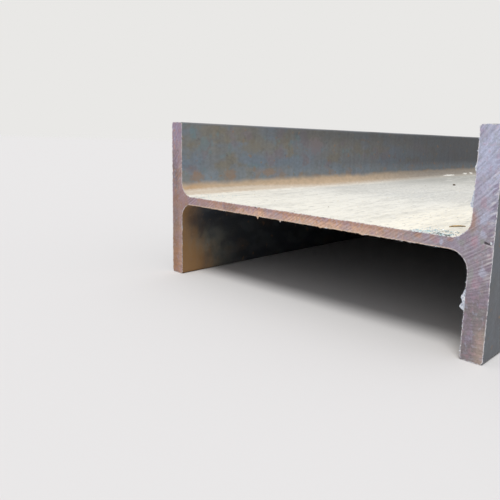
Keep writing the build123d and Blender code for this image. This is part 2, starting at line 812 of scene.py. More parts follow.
@dataclass(frozen=True)
class TornLip:
    """A lip of steel that the blade tore out and left standing on the arris.

    Attributes:
        start: Where it begins on the arris, as X and Z at the near end.
        stop: Where it ends.
        outward: Direction in which it stands off the steel, as X and Z.
        profile: Shares of its length, each with how far it stands off there in millimetres.
        thickness: At its foot, along the beam.
        step: Between its cross-sections.
    """

    start: tuple[float, float]
    stop: tuple[float, float]
    outward: tuple[float, float]
    profile: tuple[tuple[float, float], ...]
    thickness: float = 2.6 * MM
    step: float = 0.6 * MM

    def shell(self, length: float, end: End) -> tuple[np.ndarray, list[tuple[int, ...]]]:
        """Closed shell of the lip.

        Args:
            length: Of the beam.
            end: Which sawn end it is on.

        Returns:
            Points and faces.
        """
        first, last, out = np.array(self.start), np.array(self.stop), np.array(self.outward)
        count = max(4, round(np.linalg.norm(last - first) / self.step))
        shares, heights = zip(*self.profile)
        front, lowest = 0.15 * MM, 0.3
        rings = []
        for share in np.linspace(0, 1, count + 1):
            foot = first + (last - first) * share
            height = max(lowest, np.interp(share, shares, heights)) * MM
            rough = [noise.noise(Vector((*foot, k * MM)) / (1.7 * MM)) for k in range(4)]
            # Each row is how far the lip stands off the steel, and how far behind the beam's end.
            rows = (
                (-0.8 * MM, front + 0.6 * MM),
                (height * 0.55, front + (0.5 + 0.5 * rough[0]) * MM),
                (height * (1 + 0.25 * rough[1]), front + (0.35 + 0.3 * rough[2]) * MM),
                (height * (0.9 + 0.25 * rough[1]), front + self.thickness * 0.5),
                (height * 0.45, front + self.thickness * (0.85 + 0.3 * rough[3])),
                (-0.8 * MM, front + self.thickness),
            )
            places = [foot + out * off for off, _ in rows]
            depths = [max(0.0, depth) for _, depth in rows]
            rings.append(np.array([(x, depth - length / 2, z) for (x, z), depth in zip(places, depths)]))
        points, faces = strip(rings)
        return at_end(points, end), faces


@dataclass
class TornLips:
    """All the torn lips, at both ends.

    Attributes:
        length: Of the beam.
        lips: The lips of one end.
    """

    length: float
    lips: tuple[TornLip, ...]

    @classmethod
    def on(cls, section: Section, length: float) -> "TornLips":
        """Set the lips on the section's edges.

        Args:
            section: The rolled section.
            length: Of the beam.

        Returns:
            The lips of a beam of this length.
        """
        bay, under = section.inner_face(), section.width / 2 - section.web / 2
        tongue = ((0, 0), (0.2, 2.2), (0.42, 5.4), (0.5, 3), (0.66, 2.2), (0.76, 4.6), (0.88, 6.3), (1, 1.2))
        comb = ((0, 0), (0.25, 1.2), (0.45, 1.6), (0.7, 3.2), (0.9, 2.8), (1, 0.3))
        drip = ((0, 0.4), (0.35, 3.0), (0.55, 5.6), (0.75, 2.0), (1, 0.3))
        bead = ((0, 0), (0.5, 1.4), (1, 0))
        ridge = ((0, 0), (0.5, 2.0), (1, 0))
        thorn = ((0, 0.3), (0.5, 3.4), (1, 0.3))
        crumb = ((0, 1.2), (0.5, 2.6), (1, 1.2))
        lips = (
            TornLip((bay, 94 * MM), (bay, 66.6 * MM), (-1, 0), tongue, 3.4 * MM),
            TornLip((bay, 218 * MM), (bay, 198 * MM), (-1, 0), comb),
            TornLip((bay, 252 * MM), (bay, 243 * MM), (-1, 0), bead),
            TornLip((320.8 * MM, 158.8 * MM), (320.8 * MM, 155.6 * MM), (1, 0), crumb),
            TornLip((-84 * MM, under), (-79 * MM, under), (0, -1), drip),
            TornLip((-30.5 * MM, under), (-27 * MM, under), (0, -1), thorn),
            TornLip((52 * MM, under), (61 * MM, under), (0, -1), bead),
            TornLip((128 * MM, under), (141 * MM, under), (0, -1), bead),
            TornLip((-bay, 97 * MM), (-bay, 85 * MM), (1, 0), ridge),
            TornLip((-bay, 62 * MM), (-bay, 54 * MM), (1, 0), bead),
        )
        return cls(length, lips)

    def build(self, finish: bpy.types.Material) -> bpy.types.Object:
        """Make the lips as one piece.

        Args:
            finish: Their finish.

        Returns:
            The finished piece.
        """
        mesh = joined("torn_lips", [lip.shell(self.length, end) for end in End for lip in self.lips])
        return placed(mesh, finish)


def placed(mesh: bpy.types.Mesh, finish: bpy.types.Material) -> bpy.types.Object:
    """Put a finished mesh into the scene.

    Args:
        mesh: The mesh.
        finish: Its finish.

    Returns:
        The piece, at the origin.
    """
    mesh.materials.append(finish)
    piece = bpy.data.objects.new(mesh.name, mesh)
    bpy.context.scene.collection.objects.link(piece)
    return piece


@dataclass(frozen=True)
class BurrFringe:
    """Small torn teeth that the saw left along the arris.

    Attributes:
        section: The rolled section.
        length: Of the beam.
        recess: From the CAD box's end to the cut face.
        spacing: Between the places where a tooth may stand.
        tallest: The longest tooth.
        width: Of a tooth.
        seed: Picks one set of teeth.
    """

    section: Section
    length: float
    recess: float
    spacing: float = 1.7 * MM
    tallest: float = 2.2 * MM
    width: float = 1.1 * MM
    seed: int = 11

    def amount(self, x: float, z: float) -> float:
        """Share of the places at which a tooth stands.

        Args:
            x: Place on the section at the near end.
            z: Height above the floor.

        Returns:
            The share, from 0 to 1.
        """
        bay, middle = self.section.inner_face(), self.section.width / 2
        outer_arris, web_above, web_below, flange_above, flange_below = 0.85, 0.25, 0.6, 0.3, 0.45
        if x > self.section.depth / 2 - 1 * MM:
            return outer_arris
        if abs(x) < bay - self.section.root:
            return web_above if z > middle else web_below
        return flange_below if z < middle else flange_above

    def seeds(self) -> bpy.types.Mesh:
        """Mark the places on both arrises at which a tooth may stand.

        Returns:
            Loose points, with the way each tooth leans and how tall it may be.
        """
        middle = self.section.width / 2
        aside, forwards, rooted, stub = 0.9, 0.45, 0.5 * MM, 0.6
        rows = []
        for run in self.section.runs():
            count = max(1, round(run.length() / self.spacing))
            for k in range(count):
                point, inward = run.at((k + 0.5) / count)
                off = point - inward * self.tallest
                is_free = abs(off[0]) < self.section.depth / 2 and abs(off[1]) < middle
                lean = (-aside * inward[0], -forwards, -aside * inward[1]) if is_free else (0.0, -1.0, 0.0)
                foot = point + inward * rooted
                tall = 1.0 if is_free else stub
                height = foot[1] + middle
                place = (foot[0], self.recess - self.length / 2, height)
                rows.append((*place, *lean, tall, self.amount(foot[0], height)))
        table = np.array(rows)
        both = [at_end(table[:, :3], end) for end in End]
        leans = [at_end(table[:, 3:6], end) for end in End]
        mesh = bpy.data.meshes.new("burr_fringe")
        mesh.from_pydata(np.concatenate(both).tolist(), [], [])
        tall, amount = np.tile(table[:, 6], 2), np.tile(table[:, 7], 2)
        put_marks(mesh, {Mark.LEAN: np.concatenate(leans), Mark.TALL: tall, Mark.AMOUNT: amount})
        return mesh

    def tree(self, sizes: dict[str, object]) -> bpy.types.NodeTree:
        """Write the Geometry Nodes that grow a tooth at each chosen place.

        Args:
            sizes: Named inputs.

        Returns:
            The tree.
        """
        tree, size = new_growth("burr_teeth", sizes)
        lean = add_node(tree, "GeometryNodeInputNamedAttribute", [Mark.LEAN.value], data_type="FLOAT_VECTOR")
        tall = add_node(tree, "GeometryNodeInputNamedAttribute", [Mark.TALL.value], data_type="FLOAT")
        amount = add_node(tree, "GeometryNodeInputNamedAttribute", [Mark.AMOUNT.value], data_type="FLOAT")
        chance = add_node(tree, "FunctionNodeRandomValue", {"Seed": size["Seed"]}, data_type="FLOAT")
        chosen = add_node(tree, "FunctionNodeCompare", [chance, amount], operation="LESS_THAN")
        blunt = {"Vertices": 5, "Side Segments": 2, "Radius Top": 0.1, "Radius Bottom": 0.5, "Depth": 1.0}
        cone = add_node(tree, "GeometryNodeMeshCone", blunt).outputs["Mesh"]
        upright = add_node(tree, "FunctionNodeAlignRotationToVector", {"Vector": lean}, axis="Z")
        swing = {"Min": (-0.5, -0.5, -3.0), "Max": (0.5, 0.5, 3.0), "Seed": size["Seed"]}
        tilt = add_node(tree, "FunctionNodeRandomValue", swing, data_type="FLOAT_VECTOR")
        turned = add_node(tree, "FunctionNodeRotateRotation", [upright, tilt], rotation_space="LOCAL")
        spread = {"Min": (0.6, 0.5, 0.3), "Max": (1.6, 1.0, 1.0), "Seed": size["Seed"]}
        share = add_node(tree, "FunctionNodeRandomValue", spread, data_type="FLOAT_VECTOR")
        height = add_node(tree, "ShaderNodeMath", [tall, size["Tallest"]], operation="MULTIPLY")
        full = add_node(tree, "ShaderNodeCombineXYZ", [size["Width"], size["Width"], height])
        scale = add_node(tree, "ShaderNodeVectorMath", [share, full], operation="MULTIPLY")
        place = {"Points": size["Geometry"], "Selection": chosen}
        tooth = {"Instance": cone, "Rotation": turned, "Scale": scale}
        teeth = add_node(tree, "GeometryNodeInstanceOnPoints", place | tooth)
        end_growth(tree, size, teeth, 0.35 * MM)
        return tree

    def build(self, finish: bpy.types.Material) -> bpy.types.Object:
        """Grow the fringe as one piece.

        Args:
            finish: Its finish.

        Returns:
            The finished piece.
        """
        sizes = {
            "Tallest": self.tallest,
            "Width": self.width,
            "Seed": self.seed,
            "Low Corner": cad_box[0],
            "High Corner": cad_box[1],
            "Finish": finish,
        }
        return grown("burr_fringe", self.seeds(), self.tree(sizes), sizes)


def end_growth(
    tree: bpy.types.NodeTree, size: bpy.types.NodeOutputs, copies: bpy.types.Node, rough: float
) -> None:
    """End a tree of small copies: make them uneven, keep them between two corners and dress them.

    Args:
        tree: Tree that the nodes go into.
        size: Outputs of its input node, with Low Corner, High Corner and Finish.
        copies: What gives the copies.
        rough: How far a point may move.
    """
    bump_size = 0.9 * MM
    solid = add_node(tree, "GeometryNodeRealizeInstances", [copies])
    here = add_node(tree, "GeometryNodeInputPosition")
    coarse = add_node(tree, "ShaderNodeTexNoise", {"Scale": 1 / bump_size, "Detail": 1.0})
    mixed, half, reach = coarse.outputs["Color"], (0.5, 0.5, 0.5), (4 * rough,) * 3
    even = add_node(tree, "ShaderNodeVectorMath", [mixed, half], operation="SUBTRACT")
    moved = add_node(tree, "ShaderNodeVectorMath", [even, reach, here], operation="MULTIPLY_ADD")
    above = add_node(tree, "ShaderNodeVectorMath", [moved, size["Low Corner"]], operation="MAXIMUM")
    inside = add_node(tree, "ShaderNodeVectorMath", [above, size["High Corner"]], operation="MINIMUM")
    kept = add_node(tree, "GeometryNodeSetPosition", {"Geometry": solid, "Position": inside})
    dressed = add_node(tree, "GeometryNodeSetMaterial", [kept, None, size["Finish"]])
    add_node(tree, "NodeGroupOutput", [dressed])


@dataclass(frozen=True)
class Scatter:
    """Loose grains strewn over a level part of the web.

    Attributes:
        name: Of the piece.
        across: From and to, along X at the near end.
        deep: From and to, as distances from the sawn end.
        level: Height that they lie on.
        density: Grains in a square metre where they lie thickest.
        smallest: Smallest grain.
        largest: Largest grain.
        flatness: Height of a grain as a share of its width.
        clump: Size of the heaps, with about half of the area bare.
        thinning: Distance over which they thin out to a third, away from the sawn end.
        seed: Picks one set of grains.
    """

    name: str
    across: tuple[float, float]
    deep: tuple[float, float]
    level: float
    density: float
    smallest: float
    largest: float
    flatness: float = 0.7
    clump: float = 30 * MM
    thinning: float = 0.5
    seed: int = 1

    def patches(self, length: float) -> bpy.types.Mesh:
        """Faces that the grains are strewn on, at both ends.

        Args:
            length: Of the beam.

        Returns:
            The faces, which thin the grains out towards their borders.
        """
        columns, rows = 24, 24
        # Rows crowd towards the sawn end, and the grains thin out over the outer sixth and last quarter.
        crowding, side_slope, far_slope = 1.5, 6, 4
        points, faces, amounts = [], [], []
        for end in End:
            start = len(points)
            u, v = np.meshgrid(np.linspace(0, 1, columns + 1), np.linspace(0, 1, rows + 1))
            u, v = u.ravel(), v.ravel() ** crowding
            x = self.across[0] + (self.across[1] - self.across[0]) * u
            depth = self.deep[0] + (self.deep[1] - self.deep[0]) * v
            grid = np.column_stack([x, depth - length / 2, np.full(len(x), self.level)])
            points += at_end(grid, end).tolist()
            border = np.clip(np.minimum(u, 1 - u) * side_slope, 0, 1) * np.clip((1 - v) * far_slope, 0, 1)
            amounts += (border * np.exp(-(depth - self.deep[0]) / self.thinning)).tolist()
            for row in range(rows):
                for column in range(columns):
                    corner = start + row * (columns + 1) + column
                    faces.append((corner, corner + 1, corner + columns + 2, corner + columns + 1))
        mesh = bpy.data.meshes.new(self.name)
        mesh.from_pydata(points, [], faces)
        put_marks(mesh, {Mark.AMOUNT: np.array(amounts)})
        return mesh

    def tree(self, sizes: dict[str, object]) -> bpy.types.NodeTree:
        """Write the Geometry Nodes that strew the grains.

        Args:
            sizes: Named inputs.

        Returns:
            The tree.
        """
        tree, size = new_growth(self.name, sizes)
        amount = add_node(tree, "GeometryNodeInputNamedAttribute", [Mark.AMOUNT.value], data_type="FLOAT")
        per_clump = add_node(tree, "ShaderNodeMath", [1.0, size["Clump Size"]], operation="DIVIDE")
        heaps = add_node(tree, "ShaderNodeTexNoise", {"Scale": per_clump, "Detail": 3.0})
        heaped = add_node(tree, "ShaderNodeMapRange", [heaps, 0.40, 0.58])
        thick = add_node(tree, "ShaderNodeMath", [heaped, amount], operation="MULTIPLY")
        share = add_node(tree, "ShaderNodeMath", [thick, size["Density"]], operation="MULTIPLY")
        strewn = {"Mesh": size["Geometry"], "Density": share, "Seed": size["Seed"]}
        points = add_node(tree, "GeometryNodeDistributePointsOnFaces", strewn)
        grain = add_node(tree, "GeometryNodeMeshIcoSphere", {"Radius": 0.5, "Subdivisions": 1})
        swing = {"Min": (-0.5, -0.5, -3.1), "Max": (0.5, 0.5, 3.1), "Seed": size["Seed"]}
        turn = add_node(tree, "FunctionNodeRandomValue", swing, data_type="FLOAT_VECTOR")
        small = add_node(tree, "FunctionNodeRandomValue", {"Seed": size["Seed"]}, data_type="FLOAT")
        rare = add_node(tree, "ShaderNodeMath", [small, 2.5], operation="POWER")
        widths = [rare, 0.0, 1.0, size["Smallest"], size["Largest"]]
        width = add_node(tree, "ShaderNodeMapRange", widths)
        spread = {"Min": (0.6, 0.6, 0.6), "Max": (1.3, 1.0, 1.0), "Seed": size["Seed"]}
        shape = add_node(tree, "FunctionNodeRandomValue", spread, data_type="FLOAT_VECTOR")
        flat = add_node(tree, "ShaderNodeCombineXYZ", [1.0, 1.0, size["Flatness"]])
        flat = add_node(tree, "ShaderNodeVectorMath", [shape, flat], operation="MULTIPLY")
        sized = {"Vector": flat, "Scale": width}
        scale = add_node(tree, "ShaderNodeVectorMath", sized, operation="SCALE")
        copies = {"Points": points, "Instance": grain, "Rotation": turn, "Scale": scale}
        grains = add_node(tree, "GeometryNodeInstanceOnPoints", copies)
        end_growth(tree, size, grains, 0.25 * MM)
        return tree

    def build(self, length: float, finish: bpy.types.Material) -> bpy.types.Object:
        """Strew the grains as one piece.

        Args:
            length: Of the beam.
            finish: Their finish.

        Returns:
            The finished piece.
        """
        sizes = {
            "Density": self.density,
            "Smallest": self.smallest,
            "Largest": self.largest,
            "Flatness": self.flatness,
            "Clump Size": self.clump,
            "Seed": self.seed,
            "Low Corner": cad_box[0],
            "High Corner": cad_box[1],
            "Finish": finish,
        }
        return grown(self.name, self.patches(length), self.tree(sizes), sizes)


@dataclass(frozen=True)
class Flake:
    """A loose flake of scale on the web.

    Attributes:
        place: Its middle, as X and the distance from the sawn end.
        size: Its length, width and thickness.
        turn: From X towards the far end, in degrees.
        curl: How far its middle lifts off.
        bow: How far its middle lies to the side of its ends.
    """

    place: tuple[float, float]
    size: tuple[float, float, float]
    turn: float
    curl: float
    bow: float = 0.0

    def shell(self, level: float, length: float, end: End) -> tuple[np.ndarray, list[tuple[int, ...]]]:
        """Closed shell of the flake.

        Args:
            level: Height that it lies on.
            length: Of the beam.
            end: Which end it is near.

        Returns:
            Points and faces.
        """
        long, wide, thick = self.size
        angle = math.radians(self.turn)
        along = np.array([math.cos(angle), math.sin(angle)])
        beside = np.array([-along[1], along[0]])
        middle = np.array([self.place[0], self.place[1] - length / 2])
        rings = []
        steps, rag, blunt = 13, 0.3, 0.04
        for share in np.linspace(-1, 1, steps):
            ragged = 1 + rag * noise.noise(Vector((share * 3, *middle * 20)))
            half = wide / 2 * ragged * math.sqrt(max(blunt, 1 - share**2))
            lift = level + self.curl * (1 - share**2)
            centre = middle + along * share * long / 2 + beside * self.bow * (1 - share**2)
            ring = [(*(centre + beside * half * side), lift + rise) for side, rise in self.outline(thick)]
            rings.append(np.array(ring))
        points, faces = strip(rings)
        return at_end(points, end), faces

    @staticmethod
    def outline(thick: float) -> list[tuple[float, float]]:
        """Cross-section of a flake: shares of its half width, each with a height."""
        return [(-1, 0.0), (1, 0.0), (1.0, 0.5 * thick), (0.4, thick), (-0.5, 0.9 * thick), (-1, 0.4 * thick)]


@dataclass
class Flakes:
    """The loose flakes, near both ends.

    Attributes:
        length: Of the beam.
        level: Height of the web's upper face.
        flakes: Those near one end.
    """

    length: float
    level: float
    flakes: tuple[Flake, ...] = (
        Flake((239 * MM, 85 * MM), (27 * MM, 5.0 * MM, 1.2 * MM), 60, 0.8 * MM, 2.5 * MM),
        Flake((-101 * MM, 797 * MM), (7 * MM, 7 * MM, 3.6 * MM), 30, 0.3 * MM),
    )

    def build(self, finish: bpy.types.Material) -> bpy.types.Object:
        """Make the flakes as one piece.

        Args:
            finish: Their finish.

        Returns:
            The finished piece.
        """
        shells = [flake.shell(self.level, self.length, end) for end in End for flake in self.flakes]
        return placed(joined("scale_flakes", shells), finish)


@dataclass(frozen=True)
class Layer:
    """What one layer of a finish looks like.

    Attributes:
        colour: sRGB hex colour.
        roughness: Of its surface.
        metallic: 1 on bare metal, 0 on oxide, rust and dust.
    """

    colour: str
    roughness: float
    metallic: float = 0.0


@dataclass(frozen=True)
class Blotches:
    """An irregular pattern of patches.

    Attributes:
        size: Of a patch along X, Y and Z, in millimetres.
        start: Level of the noise at which a patch begins; half of the surface lies over 0.5.
        full: Level at which it is complete.
        detail: How ragged its edge is.
        seed: Moves the pattern, so that no two agree.
    """

    size: tuple[float, float, float]
    start: float
    full: float
    detail: float = 3.0
    seed: float = 0.0


@dataclass(frozen=True)
class Stain:
    """One irregular spot at a known place.

    Attributes:
        layer: What lies there.
        place: Its middle in millimetres: X at the near end, distance from the sawn end, and Z.
        size: Half of its size along each of them.
        strength: How much it covers in its middle.
    """

    layer: Layer
    place: tuple[float, float, float]
    size: tuple[float, float, float]
    strength: float


class Coat:
    """A finish being built up: one base, then layers that lie over it where their masks are strong."""

    def __init__(self, name: str, base: Layer) -> None:
        """Start a finish.

        Args:
            name: Name of the real material.
            base: What lies under all the rest.
        """
        self.material = bpy.data.materials.new(name)
        self.material.use_nodes = True
        self.tree = self.material.node_tree
        self.tree.nodes.clear()
        self.place = add_node(self.tree, "ShaderNodeTexCoord").outputs["Object"]
        self.x, self.y, self.z = add_node(self.tree, "ShaderNodeSeparateXYZ", [self.place]).outputs
        self.colour: object = linear(base.colour)
        self.roughness: object = base.roughness
        self.metallic: object = base.metallic
        self.height: object = 0.0

    @cached_property
    def normal(self) -> bpy.types.NodeOutputs:
        """Parts of the direction that the surface faces."""
        facing = add_node(self.tree, "ShaderNodeNewGeometry").outputs["Normal"]
        return add_node(self.tree, "ShaderNodeSeparateXYZ", [facing]).outputs

    @cached_property
    def wall(self) -> bpy.types.Node:
        """Mask of the upright faces."""
        return self.mask(self.off(self.normal["X"]), 0.5, 0.85)

    @cached_property
    def reach(self) -> bpy.types.Node:
        """Distance from the middle of the section, to either side."""
        return self.off(self.x)

    @cached_property
    def from_end(self) -> bpy.types.Node:
        """Distance from the nearer sawn end."""
        half = cad_box[1].y
        return add_node(self.tree, "ShaderNodeMath", [half, self.off(self.y)], operation="SUBTRACT")

    @cached_property
    def across(self) -> bpy.types.Node:
        """Place across the beam, growing to the right when the sawn end is faced.

        Returns:
            The node that gives it.
        """
        turned = add_node(self.tree, "ShaderNodeMath", [self.y, -1.0], operation="MULTIPLY")
        side = add_node(self.tree, "ShaderNodeMath", [turned], operation="SIGN")
        return add_node(self.tree, "ShaderNodeMath", [self.x, side], operation="MULTIPLY")

    def off(self, measure: object, middle: float = 0.0) -> bpy.types.Node:
        """How far a measure is from a value, to either side of it."""
        gap = add_node(self.tree, "ShaderNodeMath", [measure, middle], operation="SUBTRACT")
        return add_node(self.tree, "ShaderNodeMath", [gap], operation="ABSOLUTE")

    def shifted(self, measure: object, share: object, size: float) -> bpy.types.Node:
        """Move a measure by a share of a size, so that an edge that follows it wanders."""
        return add_node(self.tree, "ShaderNodeMath", [share, size, measure], operation="MULTIPLY_ADD")

    def carried(self, mark: Mark) -> bpy.types.NodeSocket:
        """A value that the mesh carries."""
        return add_node(self.tree, "ShaderNodeAttribute", attribute_name=mark.value).outputs["Fac"]

    def noise(self, spec: Blotches, place: object = None) -> bpy.types.Node:
        """Even noise, from 0 to 1.

        Args:
            spec: Its size and detail.
            place: Where on the pattern the surface is, or None for the object's own place.

        Returns:
            The node that gives it.
        """
        scale = tuple(1 / (size * MM) for size in spec.size)
        start = (spec.seed, -spec.seed, 2 * spec.seed)
        moved = add_node(self.tree, "ShaderNodeMapping", [place or self.place, start, None, scale])
        sizes = {"Vector": moved, "Scale": 1.0, "Detail": spec.detail}
        return add_node(self.tree, "ShaderNodeTexNoise", sizes)

    def mask(self, measure: object, nothing: float, full: float, *others: object) -> bpy.types.Node:
        """Turn a measure into a share from 0 to 1, kept only where the other masks are strong.

        Args:
            measure: What to go by.
            nothing: Its value where the mask is 0.
            full: Its value where the mask is 1.
            others: Masks to combine it with.

        Returns:
            The node that gives the mask.
        """
        steps = [measure, nothing, full]
        share = add_node(self.tree, "ShaderNodeMapRange", steps, interpolation_type="SMOOTHSTEP")
        for other in others:
            share = add_node(self.tree, "ShaderNodeMath", [share, other], operation="MULTIPLY")
        return share

    def blotches(self, spec: Blotches, *others: object, place: object = None) -> bpy.types.Node:
        """Mask of irregular patches.

        Args:
            spec: The patches.
            others: Masks to combine them with.
            place: Where on the pattern the surface is, or None for the object's own place.

        Returns:
            The node that gives the mask.
        """
        return self.mask(self.noise(spec, place), spec.start, spec.full, *others)

    def lay(self, layer: Layer, mask: object, strength: float = 1.0) -> None:
        """Lay a layer over what is there.

        Args:
            layer: The layer.
            mask: Where it lies.
            strength: How much it covers where the mask is full.
        """
        if strength != 1.0:
            mask = add_node(self.tree, "ShaderNodeMath", [mask, strength], operation="MULTIPLY")
        colours = [mask, self.colour, linear(layer.colour)]
        self.colour = add_node(self.tree, "ShaderNodeMix", colours, data_type="RGBA")
        self.roughness = add_node(self.tree, "ShaderNodeMix", [mask, self.roughness, layer.roughness])
        if self.metallic != layer.metallic:
            self.metallic = add_node(self.tree, "ShaderNodeMix", [mask, self.metallic, layer.metallic])

    def blot(self, layer: Layer, spec: Blotches, strength: float, *others: object) -> None:
        """Lay a layer in irregular patches, which other masks may narrow."""
        self.lay(layer, self.blotches(spec, *others), strength)

    def shade(
        self, spec: Blotches, darkest: float, lightest: float, *others: object, place: object = None
    ) -> None:
        """Make the colour lighter and darker in patches.

        Args:
            spec: The patches.
            darkest: Share of the colour that is left where the noise is low.
            lightest: Share of the colour where it is high.
            others: Masks outside which the colour stays.
            place: Where on the pattern the surface is, or None for the object's own place.
        """
        steps = [self.noise(spec, place), spec.start, spec.full, darkest, lightest]
        share = add_node(self.tree, "ShaderNodeMapRange", steps)
        for other in others:
            share = add_node(self.tree, "ShaderNodeMix", [other, 1.0, share])
        scaled = {"Vector": self.colour, "Scale": share}
        self.colour = add_node(self.tree, "ShaderNodeVectorMath", scaled, operation="SCALE")

    def stain(self, stains: tuple[Stain, ...]) -> None:
        """Lay single spots with frayed edges, at the same places of both ends.

        Args:
            stains: The spots.
        """
        stand = add_node(self.tree, "ShaderNodeCombineXYZ", [self.across, self.from_end, self.z])
        uneven = self.noise(Blotches((9, 9, 9), 0, 1, 3, 6.7))
        fray = 1.6
        outside, inside = 1.2 + fray / 2, 0.5 + fray / 2
        for stain in stains:
            middle = tuple(part * MM for part in stain.place)
            reach = tuple(1 / (part * MM) for part in stain.size)
            away = add_node(self.tree, "ShaderNodeVectorMath", [stand, middle], operation="SUBTRACT")
            share = add_node(self.tree, "ShaderNodeVectorMath", [away, reach], operation="MULTIPLY")
            gap = add_node(self.tree, "ShaderNodeVectorMath", [share], operation="LENGTH")
            frayed = self.shifted(gap.outputs["Value"], uneven, fray)
            self.lay(stain.layer, self.mask(frayed, outside, inside), stain.strength)

    def relief(self, measure: object, depth: float) -> None:
        """Add fine relief.

        Args:
            measure: Height as a share.
            depth: Height in metres where it is 1.
        """
        self.height = self.shifted(self.height, measure, depth / MM)

    def finish(self) -> bpy.types.Material:
        """Put the shader on what has been built up.

        Returns:
            The finished material.
        """
        bump = add_node(self.tree, "ShaderNodeBump", {"Strength": 1.0, "Distance": MM, "Height": self.height})
        looks = {
            "Base Color": self.colour,
            "Roughness": self.roughness,
            "Metallic": self.metallic,
            "Normal": bump,
        }
        shader = add_node(self.tree, "ShaderNodeBsdfPrincipled", looks)
        add_node(self.tree, "ShaderNodeOutputMaterial", [shader])
        return self.material


@dataclass(frozen=True)
class MillScale:
    """Hot-rolled steel's own skin: thin blue-grey oxide with a dull sheen.

    Heat colours and first rust mottle it in slate, olive and mauve, with runs down the upright faces.
    Tan rust lies in the roots and pale dust on what faces up, lightened as painted light beside the right
    flange. Painted shade darkens the lower channel, which has brown rust at its ends, the outer faces, the
    flange tips and what lies far from the sawn ends.

    Attributes:
        section: The section that it covers.
    """

    section: Section
    oxide: Layer = Layer("#7b7f83", 0.46, 0.2)
    slate: Layer = Layer("#758290", 0.44, 0.2)
    olive: Layer = Layer("#807a6d", 0.62, 0.1)
    mauve: Layer = Layer("#7f767c", 0.52, 0.15)
    teal: Layer = Layer("#6d878d", 0.42, 0.2)
    pale_scale: Layer = Layer("#8b97a0", 0.5, 0.15)
    soot_and_shade: Layer = Layer("#505357", 0.46, 0.25)
    far_painted_shade: Layer = Layer("#515358", 0.5, 0.2)
    outside: Layer = Layer("#4f5359", 0.46, 0.25)
    rust_spot: Layer = Layer("#93765c", 0.85)
    orange: Layer = Layer("#9d7b58", 0.88)
    root_rust: Layer = Layer("#c2ab90", 0.92)
    root_grey: Layer = Layer("#8f8a83", 0.9)
    root_orange: Layer = Layer("#bd966a", 0.92)
    painted_shade_scale: Layer = Layer("#393c41", 0.5, 0.2)
    shade_grey: Layer = Layer("#5d6265", 0.5, 0.2)
    shade_film: Layer = Layer("#989584", 0.7)
    under_rust: Layer = Layer("#9a764e", 0.92)
    dust: Layer = Layer("#ebe9e0", 0.95)
    fresh_dust: Layer = Layer("#f1ede0", 0.95)
    warm_dust_and_light: Layer = Layer("#fff9e8", 0.95)
    grey_dust: Layer = Layer("#acaba4", 0.95)
    pale_speck: Layer = Layer("#f4f2ea", 0.9)
    worn: Layer = Layer("#aeb2b8", 0.38, 0.6)

    def material(self) -> bpy.types.Material:
        """Build the finish.

        Returns:
            The material.
        """
        coat = Coat("hot_rolled_mill_scale", self.oxide)
        self.lay_scale(coat)
        self.lay_under(coat)
        self.lay_rust(coat)
        coat.stain(self.stains())
        self.lay_dust(coat)
        coat.stain(self.crumbs())
        self.edge_wear_light_and_shade(coat)
        return coat.finish()

    def top(self) -> float:
        """Height of the web's upper face."""
        return self.section.width / 2 + self.section.web / 2

    def stains(self) -> tuple[Stain, ...]:
        """Spots that the photograph shows on the far flange's inner face.

        Returns:
            The spots.
        """
        wall = -self.section.inner_face() / MM
        return (
            Stain(self.orange, (wall, 40, 194), (8, 18, 12), 0.55),
            Stain(self.orange, (wall, 127, 195), (8, 19, 15), 0.5),
            Stain(self.orange, (wall, 248, 197), (8, 20, 10), 0.5),
            Stain(self.teal, (wall, 29, 281), (8, 9, 16), 0.6),
            Stain(self.teal, (wall, 57, 258), (8, 14, 16), 0.5),
            Stain(self.olive, (wall, 190, 252), (8, 40, 14), 0.6),
            Stain(self.mauve, (wall, 412, 257), (8, 30, 26), 0.7),
        )

    def crumbs(self) -> tuple[Stain, ...]:
        """White crumbs in a line along the far root.

        Returns:
            The crumbs.
        """
        return (
            Stain(self.pale_speck, (-283.6, 1144, 163.7), (4, 46, 4), 0.9),
            Stain(self.pale_speck, (-285.7, 1280, 165.5), (4, 20, 4), 0.85),
            Stain(self.pale_speck, (-286.1, 1332, 166.0), (4, 14, 4), 0.85),
        )

    def lay_scale(self, coat: Coat) -> None:
        """Oxide in cloudy shades, with runs down the upright faces, and painted shade far from the sawn ends,
        up the upright faces towards their tips and on the outer faces.

        Args:
            coat: The finish being built up.
        """
        wall, reach, from_end, top = coat.wall, coat.reach, coat.from_end, self.top()
        coat.blot(self.slate, Blotches((70, 110, 60), 0.40, 0.60, 4, 1.3), 0.9)
        upper = coat.mask(coat.z, top + 60 * MM, top + 115 * MM)
        coat.blot(self.olive, Blotches((60, 85, 50), 0.30, 0.60, 4, 4.1), 0.75, upper)
        coat.blot(self.olive, Blotches((40, 60, 40), 0.52, 0.64, 5, 6.6), 0.8)
        coat.blot(self.mauve, Blotches((34, 46, 38), 0.54, 0.66, 4, 2.3), 0.7)
        coat.blot(self.teal, Blotches((20, 24, 30), 0.57, 0.69, 3, 7.7), 0.6, wall)
        coat.blot(self.soot_and_shade, Blotches((16, 26, 18), 0.60, 0.74, 5, 2.9), 0.45)
        # Painted shade: the oxide darkens with distance from the sawn end.
        coat.lay(self.far_painted_shade, coat.mask(from_end, 0.15, 1.3), 0.9)
        # Painted shade: the upright faces darken towards their tips, more so away from the sawn end.
        tip = coat.mask(coat.z, self.section.width - 50 * MM, self.section.width - 8 * MM, wall)
        coat.lay(self.soot_and_shade, coat.mask(from_end, 0.0, 0.45, tip), 0.5)
        foot = coat.mask(coat.z, top + 62 * MM, top + 32 * MM, wall)
        coat.lay(self.pale_scale, coat.mask(coat.z, top, top + 8 * MM, foot), 0.4)
        bay = self.section.inner_face()
